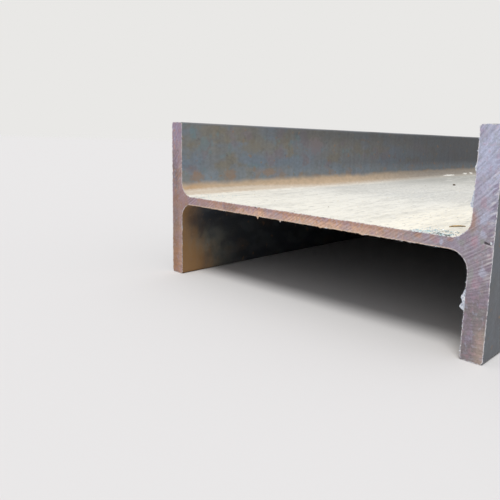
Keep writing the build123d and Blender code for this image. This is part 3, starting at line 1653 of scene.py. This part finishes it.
        # Painted shade: the flanges' outer faces are darkened.
        coat.lay(self.outside, coat.mask(reach, bay + 12 * MM, bay + 20 * MM), 0.85)
        coat.shade(Blotches((200, 11, 150), 0.30, 0.70, 3, 5.2), 0.93, 1.07, wall)
        coat.shade(Blotches((6, 9, 6), 0.3, 0.7, 4, 3.3), 0.90, 1.10)
        # Scale is pitted finer than a pixel, so its pits are drawn twice as coarse as they are.
        coat.relief(coat.noise(Blotches((1.6, 2.4, 1.6), 0, 1, 4, 1.1)), 0.10 * MM)
        coat.relief(coat.noise(Blotches((12, 20, 12), 0, 1, 3, 8.1)), 0.35 * MM)

    def lay_under(self, coat: Coat) -> None:
        """Painted shade in the lower channel, drawn as dark scale with grey patches, and brown rust by the
        sawn end and low down.

        Args:
            coat: The finish being built up.
        """
        reach, from_end = coat.reach, coat.from_end
        bay = self.section.inner_face()
        bottom = self.top() - self.section.web
        between = coat.mask(reach, bay + 6 * MM, bay + 3 * MM)
        under_web = coat.mask(coat.z, bottom + 1 * MM, bottom, between)
        # Painted shade: the lower channel under the web is darkened.
        coat.lay(self.painted_shade_scale, under_web, 0.9)
        coat.blot(self.shade_grey, Blotches((40, 50, 30), 0.44, 0.62, 4, 8.2), 0.6, under_web)
        near = coat.mask(from_end, 170 * MM, 50 * MM, coat.mask(coat.z, 115 * MM, 40 * MM, under_web))
        coat.blot(self.shade_film, Blotches((36, 30, 36), 0.25, 0.60, 4, 7.4), 0.8, near)
        low = coat.mask(coat.z, bottom - 30 * MM, 10 * MM)
        edge = coat.shifted(from_end, low, -50 * MM)
        wander = coat.noise(Blotches((30, 14, 30), 0, 1, 4, 2.7))
        ragged = coat.shifted(edge, wander, 60 * MM)
        coat.lay(self.under_rust, coat.mask(ragged, 95 * MM, 10 * MM, under_web))
        coat.blot(self.under_rust, Blotches((50, 80, 40), 0.54, 0.66, 5, 3.9), 0.12, under_web)

    def lay_rust(self, coat: Coat) -> None:
        """Rust in spots, in patches low on the flanges, and in the roots above the web.

        Args:
            coat: The finish being built up.
        """
        wall, reach, from_end = coat.wall, coat.reach, coat.from_end
        bay, root, top = self.section.inner_face(), self.section.root, self.top()
        coat.blot(self.rust_spot, Blotches((12, 16, 14), 0.63, 0.72, 4, 6.4), 0.6)
        low_wall = coat.mask(coat.z, top + 60 * MM, top + 30 * MM, wall)
        low_wall = coat.mask(coat.z, top - 1 * MM, top, low_wall)
        coat.blot(self.orange, Blotches((26, 38, 22), 0.55, 0.68, 3, 9.1), 0.4, low_wall)
        wander = coat.noise(Blotches((30, 50, 30), 0, 1, 4, 2.2))
        edge = coat.shifted(coat.z, wander, 16 * MM)
        foot = coat.mask(edge, top + 39 * MM, top + 25 * MM, coat.mask(coat.z, top - 1 * MM, top))
        band = coat.mask(reach, bay - root - 26 * MM, bay - root + 4 * MM, foot)
        band = coat.mask(reach, bay + 6 * MM, bay + 3 * MM, band)
        coat.lay(self.root_rust, band)
        coat.lay(self.root_grey, coat.mask(from_end, 0.45, 1.05, band), 0.85)
        by_end = coat.mask(from_end, 90 * MM, 0.0, band)
        coat.blot(self.root_orange, Blotches((20, 24, 20), 0.35, 0.6, 3, 4.8), 0.6, by_end)
        coat.shade(Blotches((7, 14, 7), 0.3, 0.7, 4, 1.7), 0.90, 1.10, band)

    def lay_dust(self, coat: Coat) -> None:
        """Pale dust on the web, fresh and thick by the saw cut and thin towards the roots, with painted light
        on its right half near the cut.

        Args:
            coat: The finish being built up.
        """
        up, reach, from_end, across = coat.normal["Z"], coat.reach, coat.from_end, coat.across
        top = self.top()
        bay = self.section.inner_face()
        speckle = coat.noise(Blotches((4, 8, 4), 0, 1, 3, 4.4))
        banked = coat.mask(from_end, 0.45, 0.15)
        lift = coat.shifted(coat.z, speckle, 6 * MM)
        lift = coat.shifted(lift, banked, -6 * MM)
        level = coat.mask(lift, top + 12 * MM, top - 1 * MM, coat.mask(up, 0.3, 0.55))
        level = coat.mask(reach, bay + 6 * MM, bay + 3 * MM, level)
        level = coat.mask(coat.z, top - 1 * MM, top, level)
        coat.lay(self.dust, level)
        coat.lay(self.fresh_dust, coat.mask(from_end, 0.45, 0.02, level), 0.9)
        # Painted light: warm dust lightened over the right half of the web near the cut, where the right
        # flange's shade falls.
        lit_warm_patch = coat.mask(across, 0.06, 0.20, coat.mask(from_end, 0.65, 0.20, level))
        coat.lay(self.warm_dust_and_light, lit_warm_patch, 0.95)
        coat.blot(self.grey_dust, Blotches((26, 150, 26), 0.46, 0.70, 6, 5.9), 0.34, level)
        coat.blot(self.grey_dust, Blotches((5, 22, 5), 0.57, 0.68, 3, 3.1), 0.5, level)
        coat.blot(self.pale_speck, Blotches((4, 12, 4), 0.56, 0.66, 2, 7.9), 0.7, level)
        coat.shade(Blotches((4, 40, 4), 0.3, 0.7, 5, 6.6), 0.92, 1.05, level)
        coat.shade(Blotches((1.8, 2.6, 1.8), 0.25, 0.75, 2, 2.6), 0.88, 1.07, level)
        coat.lay(self.grey_dust, coat.mask(from_end, 0.65, 1.40, level), 0.8)
        fading = coat.mask(across, -0.05, -0.24, coat.mask(from_end, 0.55, 0.95, level))
        coat.lay(self.grey_dust, fading, 0.95)
        far = coat.mask(from_end, 0.8, 1.1, level)
        coat.blot(self.pale_speck, Blotches((8, 70, 8), 0.60, 0.66, 2, 5.4), 0.75, far)
        wavy = coat.shifted(coat.z, speckle, 10 * MM)
        climbing = coat.mask(coat.z, top, top + 4 * MM, level)
        climbing = coat.mask(wavy, top + 1 * MM, top + 12 * MM, climbing)
        coat.lay(self.root_rust, climbing, 0.85)
        coat.lay(self.root_grey, coat.mask(from_end, 0.45, 1.05, climbing), 0.8)
        coat.relief(coat.noise(Blotches((3, 5, 3), 0, 1, 4, 6.1)), 0.35 * MM)

    def edge_wear_light_and_shade(self, coat: Coat) -> None:
        """Painted shade on the rounded toes, and scale rubbed bright on the flange tips and by the arris,
        where it is partly a painted highlight.

        Args:
            coat: The finish being built up.
        """
        # Painted shade darkens the rounded toes of the flanges.
        toe = coat.mask(coat.z, self.section.width - 6 * MM, self.section.width - 3 * MM)
        coat.lay(self.soot_and_shade, toe, 0.5)
        tip = coat.mask(coat.z, self.section.width - 4 * MM, self.section.width - 1 * MM)
        coat.blot(self.worn, Blotches((10, 120, 10), 0.35, 0.60, 5, 1.9), 0.35, tip)
        # By the arris the rubbed-bright scale is partly a painted highlight.
        arris = coat.mask(coat.carried(Mark.ARRIS), 2.2, 0.4)
        coat.blot(self.worn, Blotches((4, 4, 4), 0.42, 0.58, 3, 8.8), 0.8, arris)


@dataclass(frozen=True)
class SawnSteel:
    """The cut face: torn steel under a first thin film of rust.

    The film is lilac and plum up the flanges, partly a painted sky reflection, and tan and brown over the web
    and low down.
    The saw's marks show as pale lines with darker ones between, partly painted highlight and shade; the arris
    and the serrated rim carry a painted glint, and the dents painted shade.

    Attributes:
        section: The section that was cut.
    """

    section: Section
    film: Layer = Layer("#9b9199", 0.55, 0.25)
    lilac: Layer = Layer("#bbc0d8", 0.45, 0.35)
    plum: Layer = Layer("#9b8aa0", 0.5, 0.3)
    dove: Layer = Layer("#847a7d", 0.6, 0.2)
    tan: Layer = Layer("#dab092", 0.75)
    russet: Layer = Layer("#ac8271", 0.75)
    sand: Layer = Layer("#dfc3a6", 0.7)
    rose: Layer = Layer("#8c7566", 0.65, 0.15)
    dusk: Layer = Layer("#6c5b62", 0.65, 0.15)
    clay: Layer = Layer("#a87e63", 0.8)
    umber: Layer = Layer("#826244", 0.8)
    blush: Layer = Layer("#c9a89d", 0.7)
    salmon: Layer = Layer("#a27d78", 0.7)
    spot: Layer = Layer("#b07f55", 0.85)
    pink: Layer = Layer("#bd929d", 0.6, 0.2)
    sage: Layer = Layer("#959a92", 0.6, 0.2)
    ochre: Layer = Layer("#bb8d6b", 0.8)
    ice: Layer = Layer("#bcc2d8", 0.4, 0.4)
    sheen: Layer = Layer("#c3c6dc", 0.4, 0.5)
    groove: Layer = Layer("#6f6068", 0.7, 0.1)
    shadow: Layer = Layer("#75617a", 0.7, 0.1)
    crest: Layer = Layer("#cfc8d6", 0.4, 0.5)
    glint: Layer = Layer("#ece7e8", 0.3, 0.8)
    dent_shade: Layer = Layer("#3a3136", 0.8)

    def material(self) -> bpy.types.Material:
        """Build the finish.

        Returns:
            The material.
        """
        coat = Coat("sawn_structural_steel", self.film)
        self.lay_film(coat)
        coat.stain(self.stains())
        self.lay_marks(coat)
        return coat.finish()

    def stains(self) -> tuple[Stain, ...]:
        """Spots that the photograph shows on the sawn end.

        Returns:
            The spots.
        """
        return (
            Stain(self.pink, (300, 0, 156), (6, 9, 8), 0.5),
            Stain(self.pink, (307, 0, 206), (5, 9, 9), 0.35),
            Stain(self.pink, (306, 0, 104), (6, 9, 10), 0.3),
            Stain(self.ice, (311, 0, 166), (5, 9, 5), 0.5),
            Stain(self.ice, (310, 0, 187), (5, 9, 8), 0.5),
            Stain(self.ice, (314, 0, 119), (5, 9, 8), 0.45),
            Stain(self.sage, (284, 0, 152), (5, 9, 5), 0.45),
            Stain(self.sage, (299, 0, 112), (4, 9, 14), 0.45),
            Stain(self.sage, (310, 0, 157), (4, 9, 4), 0.6),
            Stain(self.ochre, (223, 0, 154), (5, 9, 5), 0.65),
            Stain(self.russet, (243, 0, 154), (5, 9, 5), 0.65),
            Stain(self.russet, (269, 0, 155), (6, 9, 4), 0.55),
            Stain(self.pink, (250, 0, 150), (6, 9, 4), 0.5),
            Stain(self.ice, (256, 0, 149), (3, 9, 5), 0.55),
            Stain(self.dusk, (-153, 0, 149), (20, 9, 9), 0.45),
        )

    def lay_film(self, coat: Coat) -> None:
        """Colours of the thin rust. Lilac and plum up the flanges are partly a painted sky reflection, the
        flanges darken towards the bottom, and a band of painted shade crosses the left flange.

        Args:
            coat: The finish being built up.
        """
        across, middle, web = coat.across, self.section.width / 2, self.section.web
        right = coat.mask(across, 0.20, 0.29)
        left = coat.mask(across, -0.24, -0.30)
        # The right flange darkens towards the bottom and turns lilac upwards, partly a painted sky
        # reflection.
        coat.lay(self.dove, coat.mask(coat.z, 0.15, 0.05, right))
        coat.lay(self.lilac, coat.mask(coat.z, 0.15, 0.26, right), 0.9)
        coat.lay(self.rose, left, 0.8)
        # Plum up the left flange is partly a painted sky reflection.
        coat.lay(self.plum, coat.mask(coat.z, 0.21, 0.28, left), 0.9)
        coat.lay(self.clay, coat.mask(coat.z, 0.13, 0.03, left), 0.9)
        bay, root = self.section.inner_face(), self.section.root
        flushed = coat.mask(coat.z, 0.28, 0.21, left)
        flushed = coat.mask(across, -bay - 18 * MM, -bay - 5 * MM, flushed)
        coat.blot(self.blush, Blotches((12, 12, 24), 0.25, 0.50, 3, 3.3), 0.7, flushed)
        # Painted shade: a darker band across the left flange, darkest at its outer edge.
        shaded_band = coat.mask(coat.z, 0.25, 0.22, coat.mask(coat.z, 0.155, 0.185, left))
        coat.lay(self.dusk, shaded_band, 0.35)
        coat.lay(self.dusk, coat.mask(across, -bay - 9 * MM, -bay - 18 * MM, shaded_band), 0.3)
        web_part = coat.mask(across, 0.27, 0.10, coat.mask(across, -0.29, -0.14))
        from_web = coat.off(coat.z, middle)
        web_part = coat.mask(from_web, web, 0.6 * web, web_part)
        coat.blot(self.tan, Blotches((60, 20, 20), 0.20, 0.42, 3, 4.4), 0.95, web_part)
        near_left = coat.mask(across, -0.12, -0.22, coat.mask(from_web, 1.6 * web, web))
        coat.lay(self.salmon, near_left, 0.6)
        wander = coat.noise(Blotches((14, 14, 14), 0, 1, 3, 2.9))
        height = coat.shifted(coat.z, wander, 9 * MM)
        coat.lay(self.russet, coat.mask(height, middle + 4 * MM, middle + 8 * MM, web_part), 0.75)
        coat.lay(self.sand, coat.mask(height, middle + 1 * MM, middle - 3 * MM, web_part), 0.6)
        coat.blot(self.spot, Blotches((7, 7, 5), 0.58, 0.66, 3, 2.1), 0.6, web_part)
        high = coat.mask(coat.z, 0.12, 0.18, right)
        coat.blot(self.sheen, Blotches((16, 9, 20), 0.52, 0.68, 3, 7.1), 0.5, high)
        for grain, seed in ((self.pink, 1.4), (self.sage, 4.7), (self.ice, 11.3)):
            coat.blot(grain, Blotches((6, 6, 8), 0.53, 0.66, 3, seed), 0.27)
        rusty = coat.mask(across, 0.25, 0.18)
        coat.blot(self.ochre, Blotches((5, 5, 7), 0.55, 0.66, 3, 7.9), 0.36, rusty)
        coat.blot(self.plum, Blotches((18, 9, 26), 0.50, 0.62, 3, 5.3), 0.35)
        coat.blot(self.spot, Blotches((6, 6, 14), 0.62, 0.7, 3, 8.3), 0.5, left)
        coat.lay(self.umber, coat.mask(coat.z, 0.20, 0.14, left), 0.35)
        by_root = coat.mask(across, bay - 10 * MM, bay - 2 * MM)
        by_root = coat.mask(across, bay + 11 * MM, bay + 2 * MM, by_root)
        by_root = coat.mask(coat.z, middle + root + 26 * MM, middle + root + 8 * MM, by_root)
        coat.lay(self.spot, coat.mask(coat.z, middle + 12 * MM, middle + root, by_root), 0.5)
        foot = coat.mask(coat.z, 62 * MM, 30 * MM, coat.mask(across, bay + 12 * MM, bay + 26 * MM))
        coat.lay(self.sand, foot, 0.3)

    def lay_marks(self, coat: Coat) -> None:
        """Saw marks, partly painted highlight and shade, torn grain, dents with painted shade, and a painted
        highlight on the arris.

        Args:
            coat: The finish being built up.
        """
        # Grooves of single teeth lie closer than a pixel, so they are drawn about twice as wide.
        across, run = coat.across, coat.carried(Mark.RUN)
        stroke = add_node(coat.tree, "ShaderNodeCombineXYZ", [run, coat.y, coat.z])
        teeth = Blotches((2.1, 1000, 60), 0.3, 0.7, 3, 1.6)
        marked = [coat.mask(across, -0.31, -0.26), 0.3]
        marked = add_node(coat.tree, "ShaderNodeMath", marked, operation="MAXIMUM")
        coat.shade(teeth, 0.84, 1.14, marked, place=stroke)
        scored = [coat.noise(teeth, stroke), marked]
        scored = add_node(coat.tree, "ShaderNodeMath", scored, operation="MULTIPLY")
        coat.relief(scored, 0.5 * MM)
        low = coat.mask(coat.z, 0.12, 0.07)
        coat.shade(Blotches((40, 1000, 3.4), 0.3, 0.7, 2, 9.3), 0.90, 1.10, low)
        coat.shade(Blotches((2.2, 2.2, 2.2), 0.3, 0.7, 3, 3.8), 0.86, 1.14)
        ridge = coat.carried(Mark.RIDGE)
        patchy = coat.blotches(Blotches((16, 16, 22), 0.35, 0.65, 2, 6.2), marked)
        # Grooves are darkened and crests lightened, partly as rust and rubbed steel, partly as painted shade
        # and painted highlight.
        coat.lay(self.groove, coat.mask(ridge, 0.0, -0.6, patchy), 0.3)
        coat.lay(self.crest, coat.mask(ridge, 0.1, 0.6, patchy), 0.32)
        outer = self.section.depth / 2
        # Painted shadow and painted glint along the serrated outer rim of the right flange.
        by_rim = coat.mask(across, outer - 12 * MM, outer - 5 * MM, coat.mask(coat.z, 0.08, 0.14))
        by_rim = coat.mask(coat.z, 0.29, 0.22, by_rim)
        ragged = coat.noise(Blotches((7, 1000, 9), 0, 1, 2, 3.7), stroke)
        coat.lay(self.shadow, coat.mask(ragged, 0.47, 0.38, by_rim), 0.5)
        coat.lay(self.glint, coat.mask(ragged, 0.54, 0.62, by_rim), 0.42)
        # Painted shade in the dents.
        coat.lay(self.dent_shade, coat.mask(coat.carried(Mark.DENT), 0.2 * MM, 1.2 * MM), 0.85)
        # Painted highlight along the arris.
        arris = coat.mask(coat.carried(Mark.ARRIS), 1.7, 0.3)
        coat.blot(self.glint, Blotches((4, 4, 4), 0.40, 0.54, 2, 5.5), 0.9, arris)
        # Painted highlight on the web's lower arris, in sand.
        lower = coat.mask(coat.z, self.section.width / 2, self.section.width / 2 - 5 * MM)
        lit_web_lip = coat.mask(coat.off(across), 0.29, 0.26, lower, arris)
        coat.lay(self.sand, lit_web_lip, 0.8)
        coat.relief(coat.noise(Blotches((0.9, 0.9, 0.9), 0, 1, 2, 1.0)), 0.25 * MM)


@dataclass(frozen=True)
class TornSteel:
    """Steel torn out by the saw a short while ago: cold blue-white and ragged, already tan over the web."""

    bright: Layer = Layer("#c3c9d6", 0.38, 0.4)
    white: Layer = Layer("#eef1f4", 0.35, 0.35)
    fold: Layer = Layer("#838895", 0.6, 0.3)
    rust: Layer = Layer("#cdae92", 0.85)

    def material(self) -> bpy.types.Material:
        """Build the finish.

        Returns:
            The material.
        """
        coat = Coat("torn_steel_burr", self.bright)
        coat.blot(self.white, Blotches((2, 2, 3), 0.48, 0.60, 3, 1.1), 0.9)
        coat.blot(self.fold, Blotches((1.6, 1.6, 2.4), 0.55, 0.68, 3, 5.1), 0.8)
        patches = coat.blotches(Blotches((9, 9, 9), 0.3, 0.5))
        coat.lay(self.rust, coat.mask(coat.across, 0.26, 0.10, patches))
        coat.relief(coat.noise(Blotches((0.8, 0.8, 0.8), 0, 1, 2, 4.0)), 0.3 * MM)
        return coat.finish()


@dataclass(frozen=True)
class SteelSwarf:
    """Chips thrown out by the saw: most gleam white or pale teal, some have burned dark."""

    bright: Layer = Layer("#dfe6e8", 0.35, 0.4)
    teal: Layer = Layer("#b9d8dc", 0.35, 0.4)
    burned: Layer = Layer("#555d58", 0.5, 0.5)

    def material(self) -> bpy.types.Material:
        """Build the finish.

        Returns:
            The material.
        """
        coat = Coat("steel_swarf", self.bright)
        coat.blot(self.teal, Blotches((9, 9, 9), 0.50, 0.58, 2, 6.0), 0.8)
        hottest = [coat.mask(coat.across, 0.228, 0.244), 0.3]
        hottest = add_node(coat.tree, "ShaderNodeMath", hottest, operation="MAXIMUM")
        coat.blot(self.burned, Blotches((3.2, 3.2, 3.2), 0.52, 0.58, 2, 3.0), 0.9, hottest)
        coat.shade(Blotches((1.5, 1.5, 1.5), 0.3, 0.7, 2, 2.0), 0.8, 1.1)
        return coat.finish()


@dataclass(frozen=True)
class PaleGrit:
    """Crumbs of dried dust and cutting paste: chalky white to cream, with a few brown crumbs of scale."""

    chalk: Layer = Layer("#efece1", 0.95)
    cream: Layer = Layer("#ded5bf", 0.95)
    scale: Layer = Layer("#8c8577", 0.8)

    def material(self) -> bpy.types.Material:
        """Build the finish.

        Returns:
            The material.
        """
        coat = Coat("dust_grit", self.chalk)
        coat.blot(self.cream, Blotches((12, 12, 12), 0.46, 0.56, 2, 4.0), 0.8)
        coat.blot(self.scale, Blotches((9, 9, 9), 0.62, 0.66, 2, 1.0), 0.9)
        coat.shade(Blotches((2, 2, 2), 0.3, 0.7, 2, 2.0), 0.88, 1.06)
        return coat.finish()


@dataclass(frozen=True)
class LooseScale:
    """Scale that came away: tan on its raised back with a painted highlight in patches, black in its cracks
    and far from the saw, and painted shade beneath.
    """

    back: Layer = Layer("#b39258", 0.85)
    bloom_highlight: Layer = Layer("#dcbb84", 0.85)
    dark: Layer = Layer("#4b4338", 0.7)

    def material(self) -> bpy.types.Material:
        """Build the finish.

        Returns:
            The material.
        """
        coat = Coat("loose_mill_scale", self.back)
        # Painted shade on what faces down.
        coat.lay(self.dark, coat.mask(coat.normal["Z"], 0.3, -0.2))
        # Painted highlight in patches.
        coat.blot(self.bloom_highlight, Blotches((9, 9, 9), 0.45, 0.60, 3, 1.2), 0.8)
        coat.blot(self.dark, Blotches((7, 7, 7), 0.50, 0.62, 3, 3.0), 0.6)
        coat.lay(self.dark, coat.mask(coat.from_end, 0.3, 0.5), 0.9)
        coat.shade(Blotches((2, 2, 2), 0.3, 0.7, 2, 2.0), 0.85, 1.1)
        return coat.finish()


@dataclass(frozen=True)
class PaleFloor:
    """Plain matt floor that fades into the backdrop far away.

    Attributes:
        colour: sRGB hex colour.
        fade_start: Distance from the beam's middle at which it starts to fade.
        fade_end: Distance at which it is gone.
    """

    colour: str = "#dfdddb"
    fade_start: float = 13.0
    fade_end: float = 36.0

    def material(self) -> bpy.types.Material:
        """Build the finish.

        Returns:
            The material.
        """
        coat = Coat("matt_floor", Layer(self.colour, 0.9))
        away = add_node(coat.tree, "ShaderNodeVectorMath", [coat.place], operation="LENGTH")
        fade = coat.mask(away.outputs["Value"], self.fade_start, self.fade_end)
        shader = {"Base Color": coat.colour, "Roughness": coat.roughness, "Specular IOR Level": 0.0}
        ground = add_node(coat.tree, "ShaderNodeBsdfPrincipled", shader)
        clear = add_node(coat.tree, "ShaderNodeBsdfTransparent")
        mixed = add_node(coat.tree, "ShaderNodeMixShader", [fade, ground, clear])
        add_node(coat.tree, "ShaderNodeOutputMaterial", [mixed])
        return coat.material


@dataclass(frozen=True)
class Studio:
    """Pale floor, soft light and the background.

    Attributes:
        backdrop: Colour of the far background.
        sky: Colour of the even light from above and around.
        sky_strength: Its strength.
        lamp_toward: Direction from the beam to the broad lamp.
        lamp_strength: In watts per square metre.
        lamp_spread: How wide the lamp looks from the beam, in degrees.
    """

    backdrop: str = "#e9e8e6"
    sky: str = "#f9faff"
    sky_strength: float = 0.60
    lamp_toward: tuple[float, float, float] = (0.2, -0.42, 1.0)
    lamp_strength: float = 1.9
    lamp_spread: float = 25.0

    def light(self) -> None:
        """Even light all round, and one broad soft lamp."""
        world = bpy.data.worlds.new("studio")
        bpy.context.scene.world = world
        world.use_nodes = True
        tree = world.node_tree
        tree.nodes.clear()
        path = add_node(tree, "ShaderNodeLightPath").outputs
        seen = path["Is Camera Ray"]
        for ray in ("Is Glossy Ray", "Is Transmission Ray"):
            seen = add_node(tree, "ShaderNodeMath", [seen, path[ray]], operation="MAXIMUM")
        sky = add_node(tree, "ShaderNodeBackground", [linear(self.sky), self.sky_strength])
        backdrop = add_node(tree, "ShaderNodeBackground", [linear(self.backdrop), 1.0])
        choice = add_node(tree, "ShaderNodeMixShader", [seen, sky, backdrop])
        add_node(tree, "ShaderNodeOutputWorld", [choice])
        self.lamp()

    def lamp(self) -> None:
        """Add the broad lamp, far away."""
        data = bpy.data.lights.new("top_light", "SUN")
        data.energy = self.lamp_strength
        data.angle = math.radians(self.lamp_spread)
        lamp = bpy.data.objects.new("top_light", data)
        lamp.rotation_euler = Vector(self.lamp_toward).to_track_quat("Z", "Y").to_euler()
        bpy.context.scene.collection.objects.link(lamp)

    def floor(self, material: bpy.types.Material) -> bpy.types.Object:
        """Lay the floor.

        Args:
            material: Its finish.

        Returns:
            The floor.
        """
        radius, sides, gap = 40.0, 96, 0.3 * MM
        angles = [2 * math.pi * side / sides for side in range(sides)]
        rim = [(radius * math.cos(angle), radius * math.sin(angle), -gap) for angle in angles]
        mesh = bpy.data.meshes.new("floor")
        mesh.from_pydata(rim, [], [list(range(sides))])
        piece = placed(mesh, material)
        return piece


@dataclass(frozen=True)
class Viewpoint:
    """Where the photograph was taken from, as worked out from the beam's edges in it.

    Attributes:
        place: Of the lens: X, distance in front of the near end, and height.
        heading: Turn to the left of straight along the beam, in degrees.
        dip: Below level, in degrees.
        roll: Turn of the picture, in degrees.
        focal_pixels: Focal length in pixels of the 500 pixel picture.
        middle: Pixel that the lens points at, off the picture's own middle because the picture was cropped.
    """

    place: tuple[float, float, float] = (564.7 * MM, 641.5 * MM, 276.2 * MM)
    heading: float = 41.83
    dip: float = 10.16
    roll: float = -1.74
    focal_pixels: float = 536.4
    middle: tuple[float, float] = (288.2, 234.0)

    def camera(self, near_end: float) -> bpy.types.Object:
        """Set up the camera.

        Args:
            near_end: Y of the beam's near end.

        Returns:
            The camera, which is also the scene's.
        """
        picture, sensor = 500, 36
        data = bpy.data.cameras.new("camera")
        data.sensor_width = sensor
        data.lens = self.focal_pixels * sensor / picture
        data.shift_x = (picture / 2 - self.middle[0]) / picture
        data.shift_y = (self.middle[1] - picture / 2) / picture
        data.clip_start, data.clip_end = 0.01, 200
        camera = bpy.data.objects.new("camera", data)
        x, ahead, height = self.place
        turn = Matrix.Rotation(math.radians(self.heading), 4, "Z")
        turn @= Matrix.Rotation(math.radians(90 - self.dip), 4, "X")
        turn @= Matrix.Rotation(math.radians(-self.roll), 4, "Z")
        camera.matrix_world = Matrix.Translation((x, near_end - ahead, height)) @ turn
        bpy.context.scene.collection.objects.link(camera)
        bpy.context.scene.camera = camera
        return camera


def main() -> None:
    """Build the beam, what the saw left on it and the studio, piece by piece."""
    low, high = cad_box
    length = high.y - low.y
    section = Section.from_frame()
    web_top = section.width / 2 + section.web / 2
    saw = SawCut()
    rolled, sawn = MillScale(section).material(), SawnSteel(section).material()
    beam = RolledBeam(section, length, saw).build(rolled, sawn)
    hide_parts(NODE)
    torn = TornSteel().material()
    lips = TornLips.on(section, length).build(torn)
    fringe = BurrFringe(section, length, saw.recess).build(torn)
    steel_chips, dry_crumbs = SteelSwarf().material(), PaleGrit().material()
    swarf = Scatter(
        name="swarf_heap",
        across=(207 * MM, 272 * MM),
        deep=(1.0 * MM, 48 * MM),
        level=web_top,
        density=1100000,
        smallest=0.9 * MM,
        largest=4.2 * MM,
        flatness=0.5,
        clump=11 * MM,
        thinning=0.03,
        seed=5,
    ).build(length, steel_chips)
    grit = Scatter(
        name="web_grit",
        across=(-276 * MM, 276 * MM),
        deep=(4 * MM, 1500 * MM),
        level=web_top,
        density=4200,
        smallest=0.9 * MM,
        largest=4.0 * MM,
        clump=45 * MM,
        thinning=0.5,
        seed=2,
    ).build(length, dry_crumbs)
    root_grit = Scatter(
        name="root_grit",
        across=(-284 * MM, -215 * MM),
        deep=(1.5 * MM, 110 * MM),
        level=web_top,
        density=90000,
        smallest=0.8 * MM,
        largest=3.2 * MM,
        clump=14 * MM,
        thinning=0.08,
        seed=9,
    ).build(length, steel_chips)
    flakes = Flakes(length, web_top).build(LooseScale().material())
    for piece in (beam, lips, fringe, swarf, grit, root_grit, flakes):
        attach(piece, BODY)
        log.info("%s: %d faces", piece.name, len(piece.data.polygons))
    studio = Studio()
    studio.floor(PaleFloor().material())
    studio.light()
    Viewpoint().camera(low.y)
    bpy.context.scene.view_settings.view_transform = "Standard"


if __name__ == "__main__":
    logging.basicConfig(level=logging.INFO)
    main()
